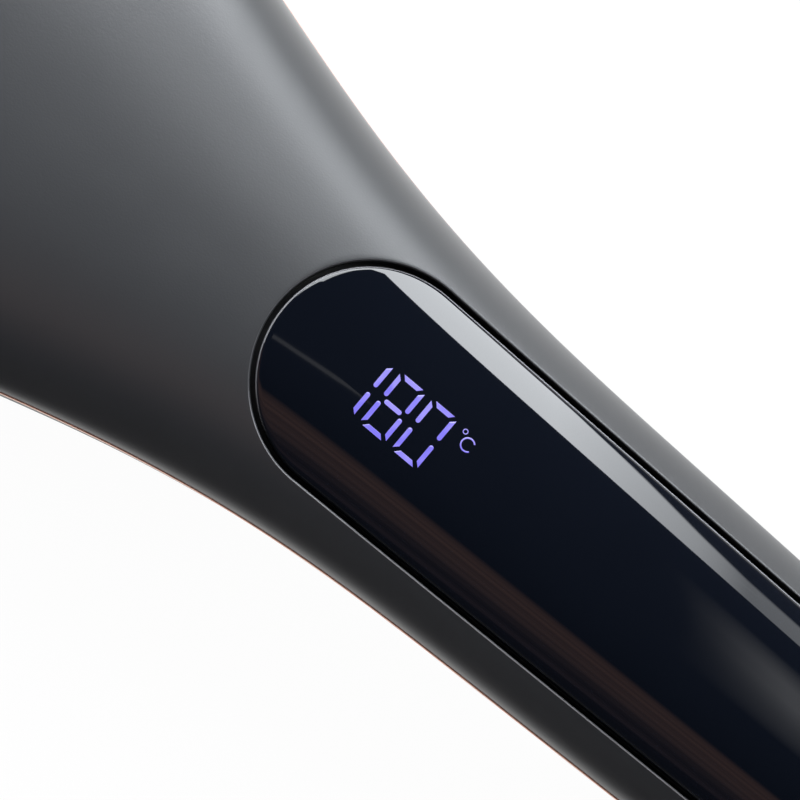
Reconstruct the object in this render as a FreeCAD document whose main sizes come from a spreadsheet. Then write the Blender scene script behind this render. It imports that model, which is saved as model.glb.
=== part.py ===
import FreeCAD, Part

import math
import os

import Sketcher

# Steam hair straightener brush, lying on its teeth with the display panel up.
#
# Row frame: +X runs from the head's tip to the tail, +Y across the handle, +Z up through the
# display panel. The origin is at the middle of the brush's length and width, on the plane that
# the tooth tips rest on. All sizes are millimetres. Stations along the brush are measured from
# the middle of the display, towards the tail, and at() turns them into row X.

# Driving dimensions: (alias, millimetres unless noted).
SIZES = [
    # Outline, seen from above, and the heights of the two casings
    ("head_reach", 172.0),  # display centre to the tip of the head
    ("handle_reach", 132.0),  # display centre to the tail face
    ("head_half_width", 34.0),
    ("tip_round", 34.0),  # length over which the head closes to its tip
    ("neck_half_width", 18.27),  # handle line where it passes the display
    ("handle_taper", 0.0328),  # half width lost per millimetre towards the tail
    ("flare_start", 26.0),  # station where the handle begins to widen
    ("flare_length", 100.0),
    ("flare_power", 1.52),  # how late the flare opens, no unit
    ("tail_round", 6.0),
    ("back_height", 14.1),
    ("front_depth", 14.0),
    ("back_fullness", 2.2),  # superellipse exponent of the back, no unit
    ("grip_fullness", 2.3),  # the same for the grip's underside
    ("head_fullness", 6.0),  # the same for the head's side walls
    ("wall", 2.0),
    ("fit_gap", 0.3),  # clearance between casings and what moves or drops in
    ("trim_thickness", 1.8),
    ("trim_width", 2.6),
    ("trim_proud", 0.2),
    # Head underside: teeth, frame and heated plate
    ("tooth_reach", 16.0),  # frame face to tooth tip
    ("rim_depth", 9.1),  # front casing's height round the head
    ("shoulder", 58.0),  # display centre to the step behind the bristle frame
    ("frame_thickness", 2.5),
    ("ledge_thickness", 1.6),
    ("plate_middle", 112.0),  # display centre to the middle of the heated plate
    ("plate_half_length", 45.0),
    ("plate_half_width", 23.0),
    ("plate_corner", 11.0),
    ("plate_thickness", 3.0),
    ("plate_lip", 1.5),  # overlap of the frame's lip under the plate
    ("lip_thickness", 1.2),
    ("tooth_length", 4.6),
    ("tooth_width", 2.0),
    ("cap_wall", 0.5),
    ("cap_height", 7.0),
    ("cap_socket", 2.0),
    ("tooth_pitch", 7.5),
    ("row_pitch", 9.2),
    ("outlet_radius", 0.8),
    ("pin_radius", 1.0),
    ("pin_tip_radius", 0.5),
    ("pin_head_radius", 1.7),
    ("pin_head_thickness", 0.8),
    ("pin_inset", 6.0),  # head outline to the pins' ring
    ("pin_pitch", 6.3),
    ("heel_inset", 3.6),  # shoulder wall to the heel row of pins
    # Steam and heat
    ("gasket_thickness", 0.5),
    ("manifold_half_length", 38.0),
    ("manifold_half_width", 8.0),
    ("manifold_height", 5.0),
    ("manifold_wall", 1.5),
    ("heater_offset", 14.8),
    ("heater_width", 9.0),
    ("heater_length", 66.0),
    ("heater_thickness", 1.5),
    ("clamp_thickness", 0.8),
    ("clamp_length", 80.0),
    ("screw_skin", 0.8),  # plate left under the clamp screws' holes
    ("clamp_boss_root", 1.0),
    ("cutoff_length", 10.0),
    ("cutoff_width", 6.0),
    ("cutoff_height", 2.2),
    ("bead_radius", 1.1),
    ("bead_length", 6.0),
    ("shield_thickness", 0.5),
    ("hose_bore", 1.5),
    ("hose_radius", 2.5),
    ("feed_height", 8.9),  # parting plane up to the feed hose
    ("steam_height", 2.9),  # plate's upper face up to the steam hose
    ("hose_grip", 4.0),  # length of hose pushed over a spigot
    ("pump_radius", 8.0),
    ("pump_length", 28.0),
    ("pump_station", 44.0),  # display centre to the pump's front face
    # Tank and its bay
    ("bay_station", 116.0),  # display centre to the bay's end wall
    ("deck_thickness", 1.7),
    ("tank_wall", 1.8),
    ("tank_floor", 1.5),
    ("key_half_width", 4.7),
    ("key_depth", 0.9),
    ("outlet_pipe_radius", 2.6),
    ("outlet_pipe_length", 8.0),
    ("pipe_flange", 0.8),
    ("pipe_flange_thickness", 1.0),
    ("filler_station", 140.0),
    ("filler_radius", 4.0),
    ("filler_head_radius", 6.0),
    ("filler_head_thickness", 1.6),
    ("filler_stem", 3.6),
    ("filler_lead", 0.5),  # chamfer on the stem's end
    ("filler_edge", 0.4),
    ("filler_lift", 0.05),  # head to its seat
    ("rail_root", 0.5),
    ("dock_length", 10.0),
    ("dock_wall", 2.2),
    ("dock_lip", 2.0),
    ("seal_thickness", 1.2),
    ("seal_play", 0.04),
    # Display panel
    ("panel_head_radius", 13.66),
    ("panel_tail_radius", 11.6),
    ("panel_head_reach", 18.7),
    ("panel_tail_reach", 113.0),
    ("panel_gap", 0.6),  # groove round the lens
    ("lens_inset", 0.25),
    ("lens_thickness", 1.8),
    ("bed_thickness", 0.3),
    ("bed_margin", 4.0),  # reach of the panel's floor past its opening
    ("floor_thickness", 1.3),
    ("digit_block_length", 28.0),
    ("digit_block_width", 11.0),
    ("digit_block_height", 5.4),
    # Keys
    ("first_key", 70.0),
    ("key_pitch", 11.5),
    ("key_radius", 4.0),
    ("key_gap", 0.2),
    ("key_flange", 0.6),
    ("key_flange_thickness", 0.8),
    ("key_stem_radius", 1.8),
    ("key_stem", 0.4),
    ("key_edge", 0.3),
    ("key_dish", 0.2),
    ("switch_side", 6.2),
    ("switch_height", 3.2),
    ("switch_floor", 1.0),
    ("plunger_radius", 1.4),
    ("plunger_stand", 1.2),
    # Boards
    ("board_thickness", 1.6),
    ("board_half_width", 8.5),
    ("control_depth", 8.4),  # crown down to the control board's upper face
    ("control_head_reach", 14.0),
    ("control_tail_reach", 109.5),
    ("power_rise", 5.9),  # grip's underside up to the power board
    ("power_head_station", 0.0),
    ("power_length", 100.0),
    ("post_radius", 2.0),
    ("post_spread", 5.9),
    ("first_control_post", 19.0),
    ("second_control_post", 58.0),
    ("third_control_post", 98.7),
    ("power_post_inset", 5.0),
    ("board_screw_radius", 0.8),
    ("board_screw_head", 1.6),
    ("board_screw_head_height", 0.9),
    ("board_screw_bite", 3.0),  # thread in the post
    ("blind_end", 1.0),  # depth of a screw hole past its screw
    ("controller_station", 34.0),
    ("controller_side", 9.0),
    ("memory_station", 72.0),
    ("memory_side", 6.0),
    ("regulator_station", 86.0),
    ("regulator_side", 5.0),
    ("chip_height", 1.2),
    ("sink_station", 18.0),
    ("sink_length", 16.0),
    ("sink_half_width", 7.0),
    ("sink_foot", 2.0),
    ("sink_height", 9.5),
    ("fin_thickness", 1.2),
    ("transformer_station", 48.0),
    ("transformer_length", 16.0),
    ("transformer_half_width", 6.5),
    ("transformer_height", 9.5),
    ("core_limb", 2.0),
    ("winding_bulge", 0.8),
    ("capacitor_station", 80.0),
    ("capacitor_radius", 4.8),
    ("capacitor_height", 10.0),
    ("crimp", 0.4),
    ("crimp_start", 1.2),
    ("lead_radius", 0.7),
    ("lead_bend", 4.0),
    # Casing screws
    ("boss_radius", 2.8),
    ("screw_radius", 1.25),
    ("screw_head_radius", 2.4),
    ("screw_head_height", 1.6),
    ("screw_engagement", 6.0),
    ("screw_seat", 8.6),  # parting plane down to the screw heads' seats
    ("seat_wall", 1.3),
    ("head_screw_station", 51.0),
    ("head_screw_spread", 20.0),
    ("neck_screw_station", 8.0),
    ("neck_screw_spread", 13.6),
    ("tail_screw_station", 114.2),
    # Cord swivel
    ("gland_reach", 12.8),  # tail face to the end of the swivel
    ("collar_thickness", 2.5),
    ("collar_radius", 7.4),
    ("collar_edge", 0.8),
    ("neck_radius", 4.5),
    ("knob_radius", 6.0),
    ("knob_edge", 0.6),
    ("knob_end_edge", 1.5),
    ("running_gap", 0.1),
    ("cord_bore_radius", 3.6),
    ("cord_bore_depth", 12.0),
    ("flange_radius", 6.2),
    ("flange_thickness", 2.4),
    ("stub_radius", 4.0),
    ("sleeve_thickness", 0.8),
    ("stub_length", 8.0),
    ("ring_thickness", 0.6),
    ("ring_width", 1.5),
    ("ring_pitch", 3.5),
    ("leaf_thickness", 0.4),
    ("leaf_width", 1.0),
    ("leaf_half_length", 5.0),
    ("block_half_width", 5.8),
    ("block_height", 6.6),
    ("contact_inset", 0.5),  # stub's end to the contact block
]

doc = FreeCAD.newDocument("SteamBrush")
sheet = doc.addObject("Spreadsheet::Sheet", "Sizes")
for row, (alias, value) in enumerate(SIZES, start=1):
    sheet.set(f"A{row}", alias)
    sheet.set(f"B{row}", str(value))
    sheet.setAlias(f"B{row}", alias)
doc.recompute()

nodes = {}


# ---------------------------------------------------------------------------------------------
# Formulas. Each is an expression on the sheet, used both in bindings and, through mm(), in code.
# ---------------------------------------------------------------------------------------------
def named(text):
    """Puts the sheet's name before each alias in a formula."""
    aliases = {alias for alias, _ in SIZES}
    words = text.replace("(", " ( ").replace(")", " ) ").split()
    return "(" + " ".join("Sizes." + w if w in aliases else w for w in words) + ")"


def mm(formula):
    """The value of a formula."""
    return float(sheet.evalExpression(formula))


DISPLAY = named("( head_reach - handle_reach - gland_reach ) / 2")
RIM = named("tooth_reach")
FRONT_TOP = named("tooth_reach + rim_depth")
BACK_BASE = named("tooth_reach + rim_depth + trim_thickness")
CROWN = f"({BACK_BASE} + {named('back_height')})"
AXIS = named("tooth_reach + rim_depth + trim_thickness / 2")
DECK_TOP = f"({BACK_BASE} + {named('deck_thickness')})"
FRAME_TOP = f"({RIM} + {named('frame_thickness')})"
LEDGE_TOP = f"({FRAME_TOP} + {named('ledge_thickness')})"
PLATE_FACE = f"({RIM} + {named('lip_thickness')})"
PLATE_BACK = f"({PLATE_FACE} + {named('plate_thickness')})"
FEED_Z = f"({FRONT_TOP} + {named('feed_height')})"
STEAM_Z = f"({PLATE_BACK} + {named('steam_height')})"
PUMP_Z = f"(({FEED_Z} + {STEAM_Z}) / 2)"
CLAMP_SCREW_END = f"({PLATE_FACE} + {named('screw_skin')})"
CONTROL_TOP = f"({CROWN} - {named('control_depth')})"
POWER_BASE = f"({FRONT_TOP} - {named('front_depth')} + {named('power_rise')})"
POWER_TOP = f"({POWER_BASE} + {named('board_thickness')})"
LENS_BACK = named("lens_inset + lens_thickness")
FLOOR_TOP = f"({LENS_BACK} + {named('bed_thickness')})"
FLOOR_BACK = f"({FLOOR_TOP} + {named('floor_thickness')})"


def at(station):
    """Row X of a station measured from the display, towards the tail, as a formula."""
    return f"({DISPLAY} + {named(station)})"


TIP_X = at("0 - head_reach")
TAIL_X = at("handle_reach")
TAIL_WALL_X = at("handle_reach - wall")
BAY_X = at("0 - bay_station")
SHOULDER_X = at("0 - shoulder")
PLATE_X = at("0 - plate_middle")
PUMP_X = at("0 - pump_station")
FAR = "400"
KEY_NAMES = ("steam", "plus", "minus", "power")
FINS = 5


# ---------------------------------------------------------------------------------------------
# Document helpers
# ---------------------------------------------------------------------------------------------
def bind(item, **formulas):
    """Binds properties to formulas; Base_x, Base_y and Base_z are the placement's."""
    for prop, formula in formulas.items():
        path = prop.replace("Base_", "Placement.Base.")
        item.setExpression(path, formula)
    return item


def box(name, x, y, z, length, width, height):
    """A box from its lowest corner, all sizes formulas."""
    item = doc.addObject("Part::Box", name)
    return bind(item, Length=length, Width=width, Height=height, Base_x=x, Base_y=y, Base_z=z)


def middle_box(name, x, half_width, z, length, height):
    """A box centred on the brush's mid plane."""
    return box(name, x, f"-({half_width})", z, length, f"2 * ({half_width})", height)


def cylinder(name, x, y, z, radius, height, along="Z"):
    """A cylinder from the middle of its lower or head-side end."""
    item = doc.addObject("Part::Cylinder", name)
    if along == "X":
        turn = FreeCAD.Rotation(FreeCAD.Vector(0, 1, 0), 90)
        item.Placement = FreeCAD.Placement(FreeCAD.Vector(), turn)
    return bind(item, Radius=radius, Height=height, Base_x=x, Base_y=y, Base_z=z)


def joined(name, parts):
    """The union of several objects."""
    if len(parts) == 1:
        return parts[0]
    item = doc.addObject("Part::MultiFuse", name)
    item.Shapes = parts
    return item


def less(name, base, tools):
    """base with every tool cut away."""
    item = doc.addObject("Part::Cut", name)
    item.Base = base
    item.Tool = joined(name + "_tools", tools)
    return item


def inside(name, parts):
    """What several objects share."""
    item = doc.addObject("Part::MultiCommon", name)
    item.Shapes = parts
    return item


def made(name, shape):
    """A plain feature that holds a worked-out shape."""
    item = doc.addObject("Part::Feature", name)
    item.Shape = shape
    return item


def keep(label, item):
    """Names a finished piece, which gives its file its name."""
    item.Label = label
    nodes[label] = item
    return item


def copies(label, source, places):
    """One node of equal solids, standing at a list of (x, y, z)."""
    doc.recompute()
    solids = [source.Shape.translated(FreeCAD.Vector(*p)) for p in places]
    return keep(label, made(label, Part.makeCompound(solids)))


# ---------------------------------------------------------------------------------------------
# Sketch helpers
# ---------------------------------------------------------------------------------------------
def body_sketch(body, name, role):
    """A sketch on one of a body's own origin planes."""
    sketch = body.newObject("Sketcher::SketchObject", name)
    plane = [f for f in body.Origin.OriginFeatures if f.Role == role][0]
    sketch.AttachmentSupport = (plane, "")
    sketch.MapMode = "FlatFace"
    return sketch


def pin_point(sketch, geometry, position, x, y):
    """Fixes one sketch point at formulas for its two coordinates."""
    for kind, formula in (("DistanceX", x), ("DistanceY", y)):
        index = sketch.addConstraint(
            Sketcher.Constraint(kind, -1, 1, geometry, position, mm(formula))
        )
        sketch.setExpression(f"Constraints[{index}]", formula)


def outline(sketch, points):
    """A closed polygon through points given as pairs of formulas."""
    corners = [FreeCAD.Vector(mm(x), mm(y), 0) for x, y in points]
    count = len(corners)
    for i in range(count):
        sketch.addGeometry(Part.LineSegment(corners[i], corners[(i + 1) % count]))
    for i in range(count):
        sketch.addConstraint(Sketcher.Constraint("Coincident", i, 2, (i + 1) % count, 1))
    for i, (x, y) in enumerate(points):
        pin_point(sketch, i, 1, x, y)


def circle(sketch, x, y, radius):
    """A circle at formulas for its centre and radius."""
    centre = FreeCAD.Vector(mm(x), mm(y), 0)
    index = sketch.addGeometry(Part.Circle(centre, FreeCAD.Vector(0, 0, 1), mm(radius)))
    pin_point(sketch, index, 3, x, y)
    size = sketch.addConstraint(Sketcher.Constraint("Radius", index, mm(radius)))
    sketch.setExpression(f"Constraints[{size}]", radius)


def slot(sketch, x1, radius1, x2, radius2):
    """Two round ends on the sketch's X axis, joined by their common tangents."""
    up = FreeCAD.Vector(0, 0, 1)
    ends = [FreeCAD.Vector(mm(x1), 0, 0), FreeCAD.Vector(mm(x2), 0, 0)]
    radii = [mm(radius1), mm(radius2)]
    lean = math.asin((radii[0] - radii[1]) / (ends[1].x - ends[0].x))
    top = math.pi / 2 - lean
    side = [FreeCAD.Vector(math.cos(top), math.sin(top) * s, 0) for s in (1, -1)]
    above = [c + side[0] * r for c, r in zip(ends, radii)]
    below = [c + side[1] * r for c, r in zip(ends, radii)]
    first = Part.ArcOfCircle(Part.Circle(ends[0], up, radii[0]), top, 2 * math.pi - top)
    last = Part.ArcOfCircle(Part.Circle(ends[1], up, radii[1]), -top, top)
    sketch.addGeometry(first)
    sketch.addGeometry(Part.LineSegment(below[0], below[1]))
    sketch.addGeometry(last)
    sketch.addGeometry(Part.LineSegment(above[1], above[0]))
    for i in range(4):
        sketch.addConstraint(Sketcher.Constraint("Tangent", i, 2, (i + 1) % 4, 1))
    for index, x, radius in ((0, x1, radius1), (2, x2, radius2)):
        pin_point(sketch, index, 3, x, "0")
        size = sketch.addConstraint(Sketcher.Constraint("Radius", index, mm(radius)))
        sketch.setExpression(f"Constraints[{size}]", radius)


def rounded_rectangle(sketch, x1, x2, half_width, corner):
    """A rectangle about the sketch's X axis with four equal corner arcs."""
    low, high, side, bend = mm(x1), mm(x2), mm(half_width), mm(corner)
    up = FreeCAD.Vector(0, 0, 1)
    spots = [(high, side, 0), (low, side, 1), (low, -side, 2), (high, -side, 3)]
    for x, y, quarter in spots:
        centre = FreeCAD.Vector(x - math.copysign(bend, x - (low + high) / 2), y, 0)
        centre.y -= math.copysign(bend, y)
        start = quarter * math.pi / 2
        ring = Part.Circle(centre, up, bend)
        sketch.addGeometry(Part.ArcOfCircle(ring, start, start + math.pi / 2))
    for i in range(4):
        a = sketch.Geometry[i].EndPoint
        b = sketch.Geometry[(i + 1) % 4].StartPoint
        line = sketch.addGeometry(Part.LineSegment(a, b))
        sketch.addConstraint(Sketcher.Constraint("Tangent", i, 2, line, 1))
        sketch.addConstraint(Sketcher.Constraint("Tangent", line, 2, (i + 1) % 4, 1))
        kind = "Horizontal" if i % 2 == 0 else "Vertical"
        sketch.addConstraint(Sketcher.Constraint(kind, line))
        size = sketch.addConstraint(Sketcher.Constraint("Radius", i, bend))
        sketch.setExpression(f"Constraints[{size}]", corner)
    for geometry, kind, formula in (
        (0, "DistanceY", half_width),
        (1, "DistanceX", x1),
        (2, "DistanceY", f"-({half_width})"),
        (3, "DistanceX", x2),
    ):
        index = sketch.addConstraint(
            Sketcher.Constraint(kind, -1, 1, geometry, 2, mm(formula))
        )
        sketch.setExpression(f"Constraints[{index}]", formula)


def pad(body, sketch, length, down=False):
    """A pad of a sketch, bound to a formula."""
    feature = body.newObject("PartDesign::Pad", sketch.Name + "_pad")
    feature.Profile = sketch
    feature.Reversed = down
    bind(feature, Length=length)
    return feature


def new_body(name):
    """An empty PartDesign body."""
    return doc.addObject("PartDesign::Body", name)


def turned(name, points, x="0", z="0", upright=False):
    """A body turned from a profile of (along, radius) formulas.

    It turns about X, or about Z when upright, and stands with its profile's zero at x, z.
    """
    body = new_body(name)
    sketch = body_sketch(body, name + "_profile", "XZ_Plane")
    outline(sketch, [(r, a) if upright else (a, r) for a, r in points])
    turn = body.newObject("PartDesign::Revolution", name + "_turn")
    turn.Profile = sketch
    turn.ReferenceAxis = (sketch, ["V_Axis" if upright else "H_Axis"])
    turn.Angle = 360
    return bind(body, Base_x=x, Base_z=z)


def plate_body(name, x1, x2, half_width, thickness, x, z, holes=()):
    """A flat rectangular board or plate with round holes, as a body."""
    body = new_body(name)
    sketch = body_sketch(body, name + "_outline", "XY_Plane")
    outline(sketch, [
        (x1, f"-({half_width})"), (x2, f"-({half_width})"), (x2, half_width), (x1, half_width),
    ])
    for hole_x, hole_y, radius in holes:
        circle(sketch, hole_x, hole_y, radius)
    pad(body, sketch, thickness)
    return bind(body, Base_x=x, Base_z=z)


def prism(name, draw, z, height):
    """A straight extrusion of a free sketch, standing at z."""
    sketch = doc.addObject("Sketcher::SketchObject", name + "_sketch")
    draw(sketch)
    solid = doc.addObject("Part::Extrusion", name)
    solid.Base = sketch
    solid.DirMode = "Normal"
    solid.Solid = True
    bind(solid, LengthFwd=height)
    bind(sketch, Base_z=z)
    return solid


# ---------------------------------------------------------------------------------------------
# The casing's form: superelliptic sections whose half width follows the plan outline.
# ---------------------------------------------------------------------------------------------
def half_width(station):
    """Half the casing's width at a station, before the tip and tail are rounded."""
    grip = mm(named("neck_half_width")) - mm(named("handle_taper")) * station
    share = (mm(named("flare_start")) - station) / mm(named("flare_length"))
    share = min(max(share, 0.0), 1.0)
    opening = math.sin(math.pi / 2 * share ** mm(named("flare_power"))) ** 2
    return grip + (mm(named("head_half_width")) - grip) * opening


def stations(inset):
    """(station, half width, height share, height loss) of each section, tip to tail.

    The tip closes as a quarter ellipse and the tail ends in a rounded edge.
    """
    tip_round = mm(named("tip_round"))
    tip_start = -mm(named("head_reach")) + tip_round
    tail_round = mm(named("tail_round"))
    tail_start = mm(named("handle_reach")) - tail_round
    rows = []
    for degrees in (86, 76, 64, 50, 38, 26, 13):
        turn = math.radians(degrees)
        station = tip_start - (tip_round - inset) * math.sin(turn)
        width = (half_width(tip_start) - inset) * math.cos(turn)
        rows.append((station, width, math.cos(turn), 0.0))
    count = 20
    last = tail_start - tail_round * 4 / 3
    for i in range(count + 1):
        station = tip_start + (last - tip_start) * i / count
        rows.append((station, half_width(station) - inset, 1.0, 0.0))
    for share in (0.5, 1.0):
        station = last + (tail_start - last) * share
        rows.append((station, half_width(station) - inset, 1.0, 0.0))
    for degrees in (20, 45, 70, 90):
        turn = math.radians(degrees)
        radius = tail_round - inset
        loss = radius * (1 - math.cos(turn))
        station = tail_start + radius * math.sin(turn)
        rows.append((station, half_width(station) - inset - loss, 1.0, loss))
    return rows


def section(x, width, height, fullness, base):
    """A closed half superellipse: |y/width|^n + |z/height|^n = 1 on one side of z = base."""
    count = 11
    points = []
    for i in range(count):
        turn = math.pi * i / (count - 1)
        across = math.copysign(abs(math.cos(turn)) ** (2 / fullness), math.cos(turn))
        rise = abs(math.sin(turn)) ** (2 / fullness)
        points.append(FreeCAD.Vector(x, width * across, base + height * rise))
    curve = Part.BSplineCurve()
    curve.interpolate(points)
    return Part.Wire([curve.toShape(), Part.makeLine(points[-1], points[0])])


def back_form(inset):
    """The back casing's solid form, shrunk by inset."""
    display, base = mm(DISPLAY), mm(BACK_BASE)
    height, fullness = mm(named("back_height")), mm(named("back_fullness"))
    return Part.makeLoft([
        section(display + s, width, (height - inset) * share - loss, fullness, base)
        for s, width, share, loss in stations(inset)
    ], True, False)


def front_form(inset):
    """The front casing's solid form, shrunk by inset.

    Its sides grow steeper at the head, and it stays deep almost to the tip.
    """
    display, base = mm(DISPLAY), mm(FRONT_TOP)
    depth = mm(named("front_depth"))
    grip, head = mm(named("grip_fullness")), mm(named("head_fullness"))
    narrow, wide = mm(named("neck_half_width")), mm(named("head_half_width"))
    wires = []
    for s, width, share, loss in stations(inset):
        opening = min(max((half_width(s) - narrow) / (wide - narrow), 0.0), 1.0)
        fullness = grip + (head - grip) * opening
        drop = -((depth - inset) * share ** 0.25 - loss)
        wires.append(section(display + s, width, drop, fullness, base))
    return Part.makeLoft(wires, True, False)


def plan_face(inset):
    """The casing's outline from above, shrunk by inset, as a face at z = 0."""
    display = mm(DISPLAY)
    rows = stations(inset)
    points = [FreeCAD.Vector(display + s, width, 0) for s, width, _, _ in rows]
    mirror = [FreeCAD.Vector(p.x, -p.y, 0) for p in points]
    upper, lower = Part.BSplineCurve(), Part.BSplineCurve()
    upper.interpolate(points)
    lower.interpolate(mirror)
    edges = [
        upper.toShape(),
        Part.makeLine(points[-1], mirror[-1]),
        lower.toShape(),
        Part.makeLine(mirror[0], points[0]),
    ]
    return Part.Face(Part.Wire(Part.__sortEdges__(edges)))


def form(side, inset_formula, name):
    """One casing form as a document object."""
    shape = (back_form if side == "back" else front_form)(mm(inset_formula))
    return made(name, shape)


def panel_prism(name, margin):
    """The display panel's outline grown by margin, standing through the back."""
    grow = named(margin)
    ends = ("panel_head_reach - panel_head_radius", "panel_tail_reach - panel_tail_radius")

    def draw(sketch):
        slot(
            sketch,
            f"({DISPLAY} - {named(ends[0])})", f"({named('panel_head_radius')} + {grow})",
            f"({DISPLAY} + {named(ends[1])})", f"({named('panel_tail_radius')} + {grow})",
        )

    return prism(name, draw, BACK_BASE, f"2 * {named('back_height')}")


def plate_prism(name, margin, z, height):
    """The heated plate's outline grown by margin."""
    grow = f"({margin})"
    long = named("plate_half_length")

    def draw(sketch):
        rounded_rectangle(
            sketch,
            f"({PLATE_X} - {long} - {grow})", f"({PLATE_X} + {long} + {grow})",
            f"({named('plate_half_width')} + {grow})", f"({named('plate_corner')} + {grow})",
        )

    return prism(name, draw, z, height)


# ---------------------------------------------------------------------------------------------
# Where repeated pieces stand
# ---------------------------------------------------------------------------------------------
ROWS = 5
COLUMNS = 11


def tooth_places():
    """Centres (x, y) of the heated teeth: five rows across, eleven along."""
    middle, along, across = mm(PLATE_X), mm(named("tooth_pitch")), mm(named("row_pitch"))
    return [
        (middle + (column - (COLUMNS - 1) / 2) * along, (row - (ROWS - 1) / 2) * across)
        for row in range(ROWS)
        for column in range(COLUMNS)
    ]


def outlet_places():
    """Centres of the steam outlets, between the teeth of the middle channels."""
    middle, along, across = mm(PLATE_X), mm(named("tooth_pitch")), mm(named("row_pitch"))
    return [
        (middle + (column - (COLUMNS - 2) / 2) * along, side * across / 2)
        for side in (-1, 1)
        for column in range(COLUMNS - 1)
    ]


def pin_places():
    """Centres of the cool bristles round the frame: two sides, the round tip and the heel."""
    display = mm(DISPLAY)
    inset, pitch = mm(named("pin_inset")), mm(named("pin_pitch"))
    ring = mm(named("head_half_width")) - inset
    tip_round = mm(named("tip_round"))
    tip_centre = display - mm(named("head_reach")) + tip_round
    heel = mm(SHOULDER_X) - mm(named("wall")) - mm(named("heel_inset"))
    side_count = int((heel - tip_centre) / pitch)
    places = [
        (tip_centre + (heel - tip_centre) * i / side_count, side * ring)
        for side in (-1, 1)
        for i in range(side_count)
    ]
    arc_count = int(math.pi * ring / pitch)
    for i in range(1, arc_count):
        turn = math.pi * i / arc_count - math.pi / 2
        x = tip_centre - (tip_round - inset) * math.cos(turn)
        places.append((x, ring * math.sin(turn)))
    heel_count = int(2 * ring / pitch)
    for i in range(heel_count + 1):
        places.append((heel, -ring + 2 * ring * i / heel_count))
    return places


def key_station(index):
    """Formula of a key's row X."""
    return f"({DISPLAY} + {named('first_key')} + {index} * {named('key_pitch')})"


CONTROL_POSTS = [
    (station, side)
    for station in ("first_control_post", "second_control_post", "third_control_post")
    for side in ("post_spread", "0 - post_spread")
]
POWER_POSTS = [
    (station, side)
    for station in (
        "power_head_station + power_post_inset",
        "power_head_station + power_length - power_post_inset",
    )
    for side in ("post_spread", "0 - post_spread")
]
CASING_SCREWS = [
    ("0 - head_screw_station", "head_screw_spread"),
    ("0 - head_screw_station", "0 - head_screw_spread"),
    ("0 - neck_screw_station", "neck_screw_spread"),
    ("0 - neck_screw_station", "0 - neck_screw_spread"),
    ("tail_screw_station", "0"),
]


def place(name, spot, z, radius, height):
    """A round post or hole at a (station, side) spot."""
    station, side = spot
    return cylinder(name, at(station), named(side), z, radius, height)


def slab(name, x1, x2, z, height):
    """A block over the casing's full width from x1 to x2."""
    return middle_box(name, x1, FAR, z, f"({x2}) - ({x1})", height)


# ---------------------------------------------------------------------------------------------
# Casings
# ---------------------------------------------------------------------------------------------
NONE = "0"
WALL = named("wall")
GAP = named("fit_gap")
SCREW = named("screw_radius")
SEAT_Z = f"({FRONT_TOP} - {named('screw_seat')})"
NECK = named("neck_radius")
SLEEVE = named("neck_radius + running_gap + sleeve_thickness")
PIPE = named("outlet_pipe_radius")
TANK_END_X = f"({BAY_X} - {GAP})"
TANK_BASE = f"({DECK_TOP} + {GAP})"
PLUNGER_TOP = f"({CONTROL_TOP} + {named('switch_height + plunger_stand')})"
BRISTLE_HEEL_X = f"({SHOULDER_X} - {GAP})"
TIP_CENTRE_X = at("0 - head_reach + tip_round")
PUMP_RIB_SHARES = ("0.2", "0.75")

back_outer = form("back", NONE, "back_outer")
back_inner = form("back", WALL, "back_inner")
floor_top = form("back", FLOOR_TOP, "floor_top")
lens_back = form("back", LENS_BACK, "lens_back")
front_outer = form("front", NONE, "front_outer")
front_inner = form("front", WALL, "front_inner")
tank_inner = form("back", named("tank_wall"), "tank_inner")


def back_housing():
    """Upper casing: panel recess, tank bay with its deck, screw bosses and board posts."""
    kept = [
        less("panel_bed", panel_prism("panel_border", "bed_margin"),
             [form("back", FLOOR_BACK, "floor_under")]),
        slab("deck_slab", f"-{FAR}", BAY_X, BACK_BASE, named("deck_thickness")),
        slab("bay_wall", BAY_X, f"({BAY_X} + {WALL})", BACK_BASE, FAR),
    ]
    for i, spot in enumerate(CASING_SCREWS):
        kept.append(place(f"back_boss{i}", spot, BACK_BASE, named("boss_radius"), FAR))
    for i, spot in enumerate(CONTROL_POSTS):
        kept.append(place(f"control_post{i}", spot, CONTROL_TOP, named("post_radius"), FAR))
    holes = [
        less("back_cavity", back_inner, kept),
        less("panel_pocket", panel_prism("panel_opening", NONE), [floor_top]),
        slab("tank_bay", f"-{FAR}", BAY_X, DECK_TOP, FAR),
        middle_box("key_channel", f"-{FAR}", named("key_half_width + fit_gap"),
                   f"({DECK_TOP} - {named('key_depth')})", f"({BAY_X} + {FAR})", FAR),
        cylinder("pipe_hole", BAY_X, "0", FEED_Z, f"({PIPE} + {GAP})", WALL, "X"),
        cylinder("back_sleeve_hole", TAIL_WALL_X, "0", AXIS, SLEEVE, FAR, "X"),
        display_window(),
    ]
    for i, name in enumerate(KEY_NAMES):
        radius = named("key_radius + key_flange + fit_gap")
        holes.append(cylinder(f"{name}_floor_hole", key_station(i), "0",
                              f"({CONTROL_TOP} + {GAP})", radius, FAR))
    for i, spot in enumerate(CASING_SCREWS):
        holes.append(place(f"back_screw_hole{i}", spot, BACK_BASE, SCREW,
                           named("screw_engagement")))
    for i, spot in enumerate(CONTROL_POSTS):
        holes.append(place(f"control_screw_hole{i}", spot, CONTROL_TOP,
                           named("board_screw_radius"), named("board_screw_bite + blind_end")))
    return keep("back_housing", less("back_casing", back_outer, holes))


def display_window():
    """The opening in the panel's floor that the display module stands in."""
    length = named("digit_block_length + fit_gap * 2")
    return middle_box("display_window", f"({DISPLAY} - {length} / 2)",
                      named("digit_block_width / 2 + fit_gap"), CONTROL_TOP, length, FAR)


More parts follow.
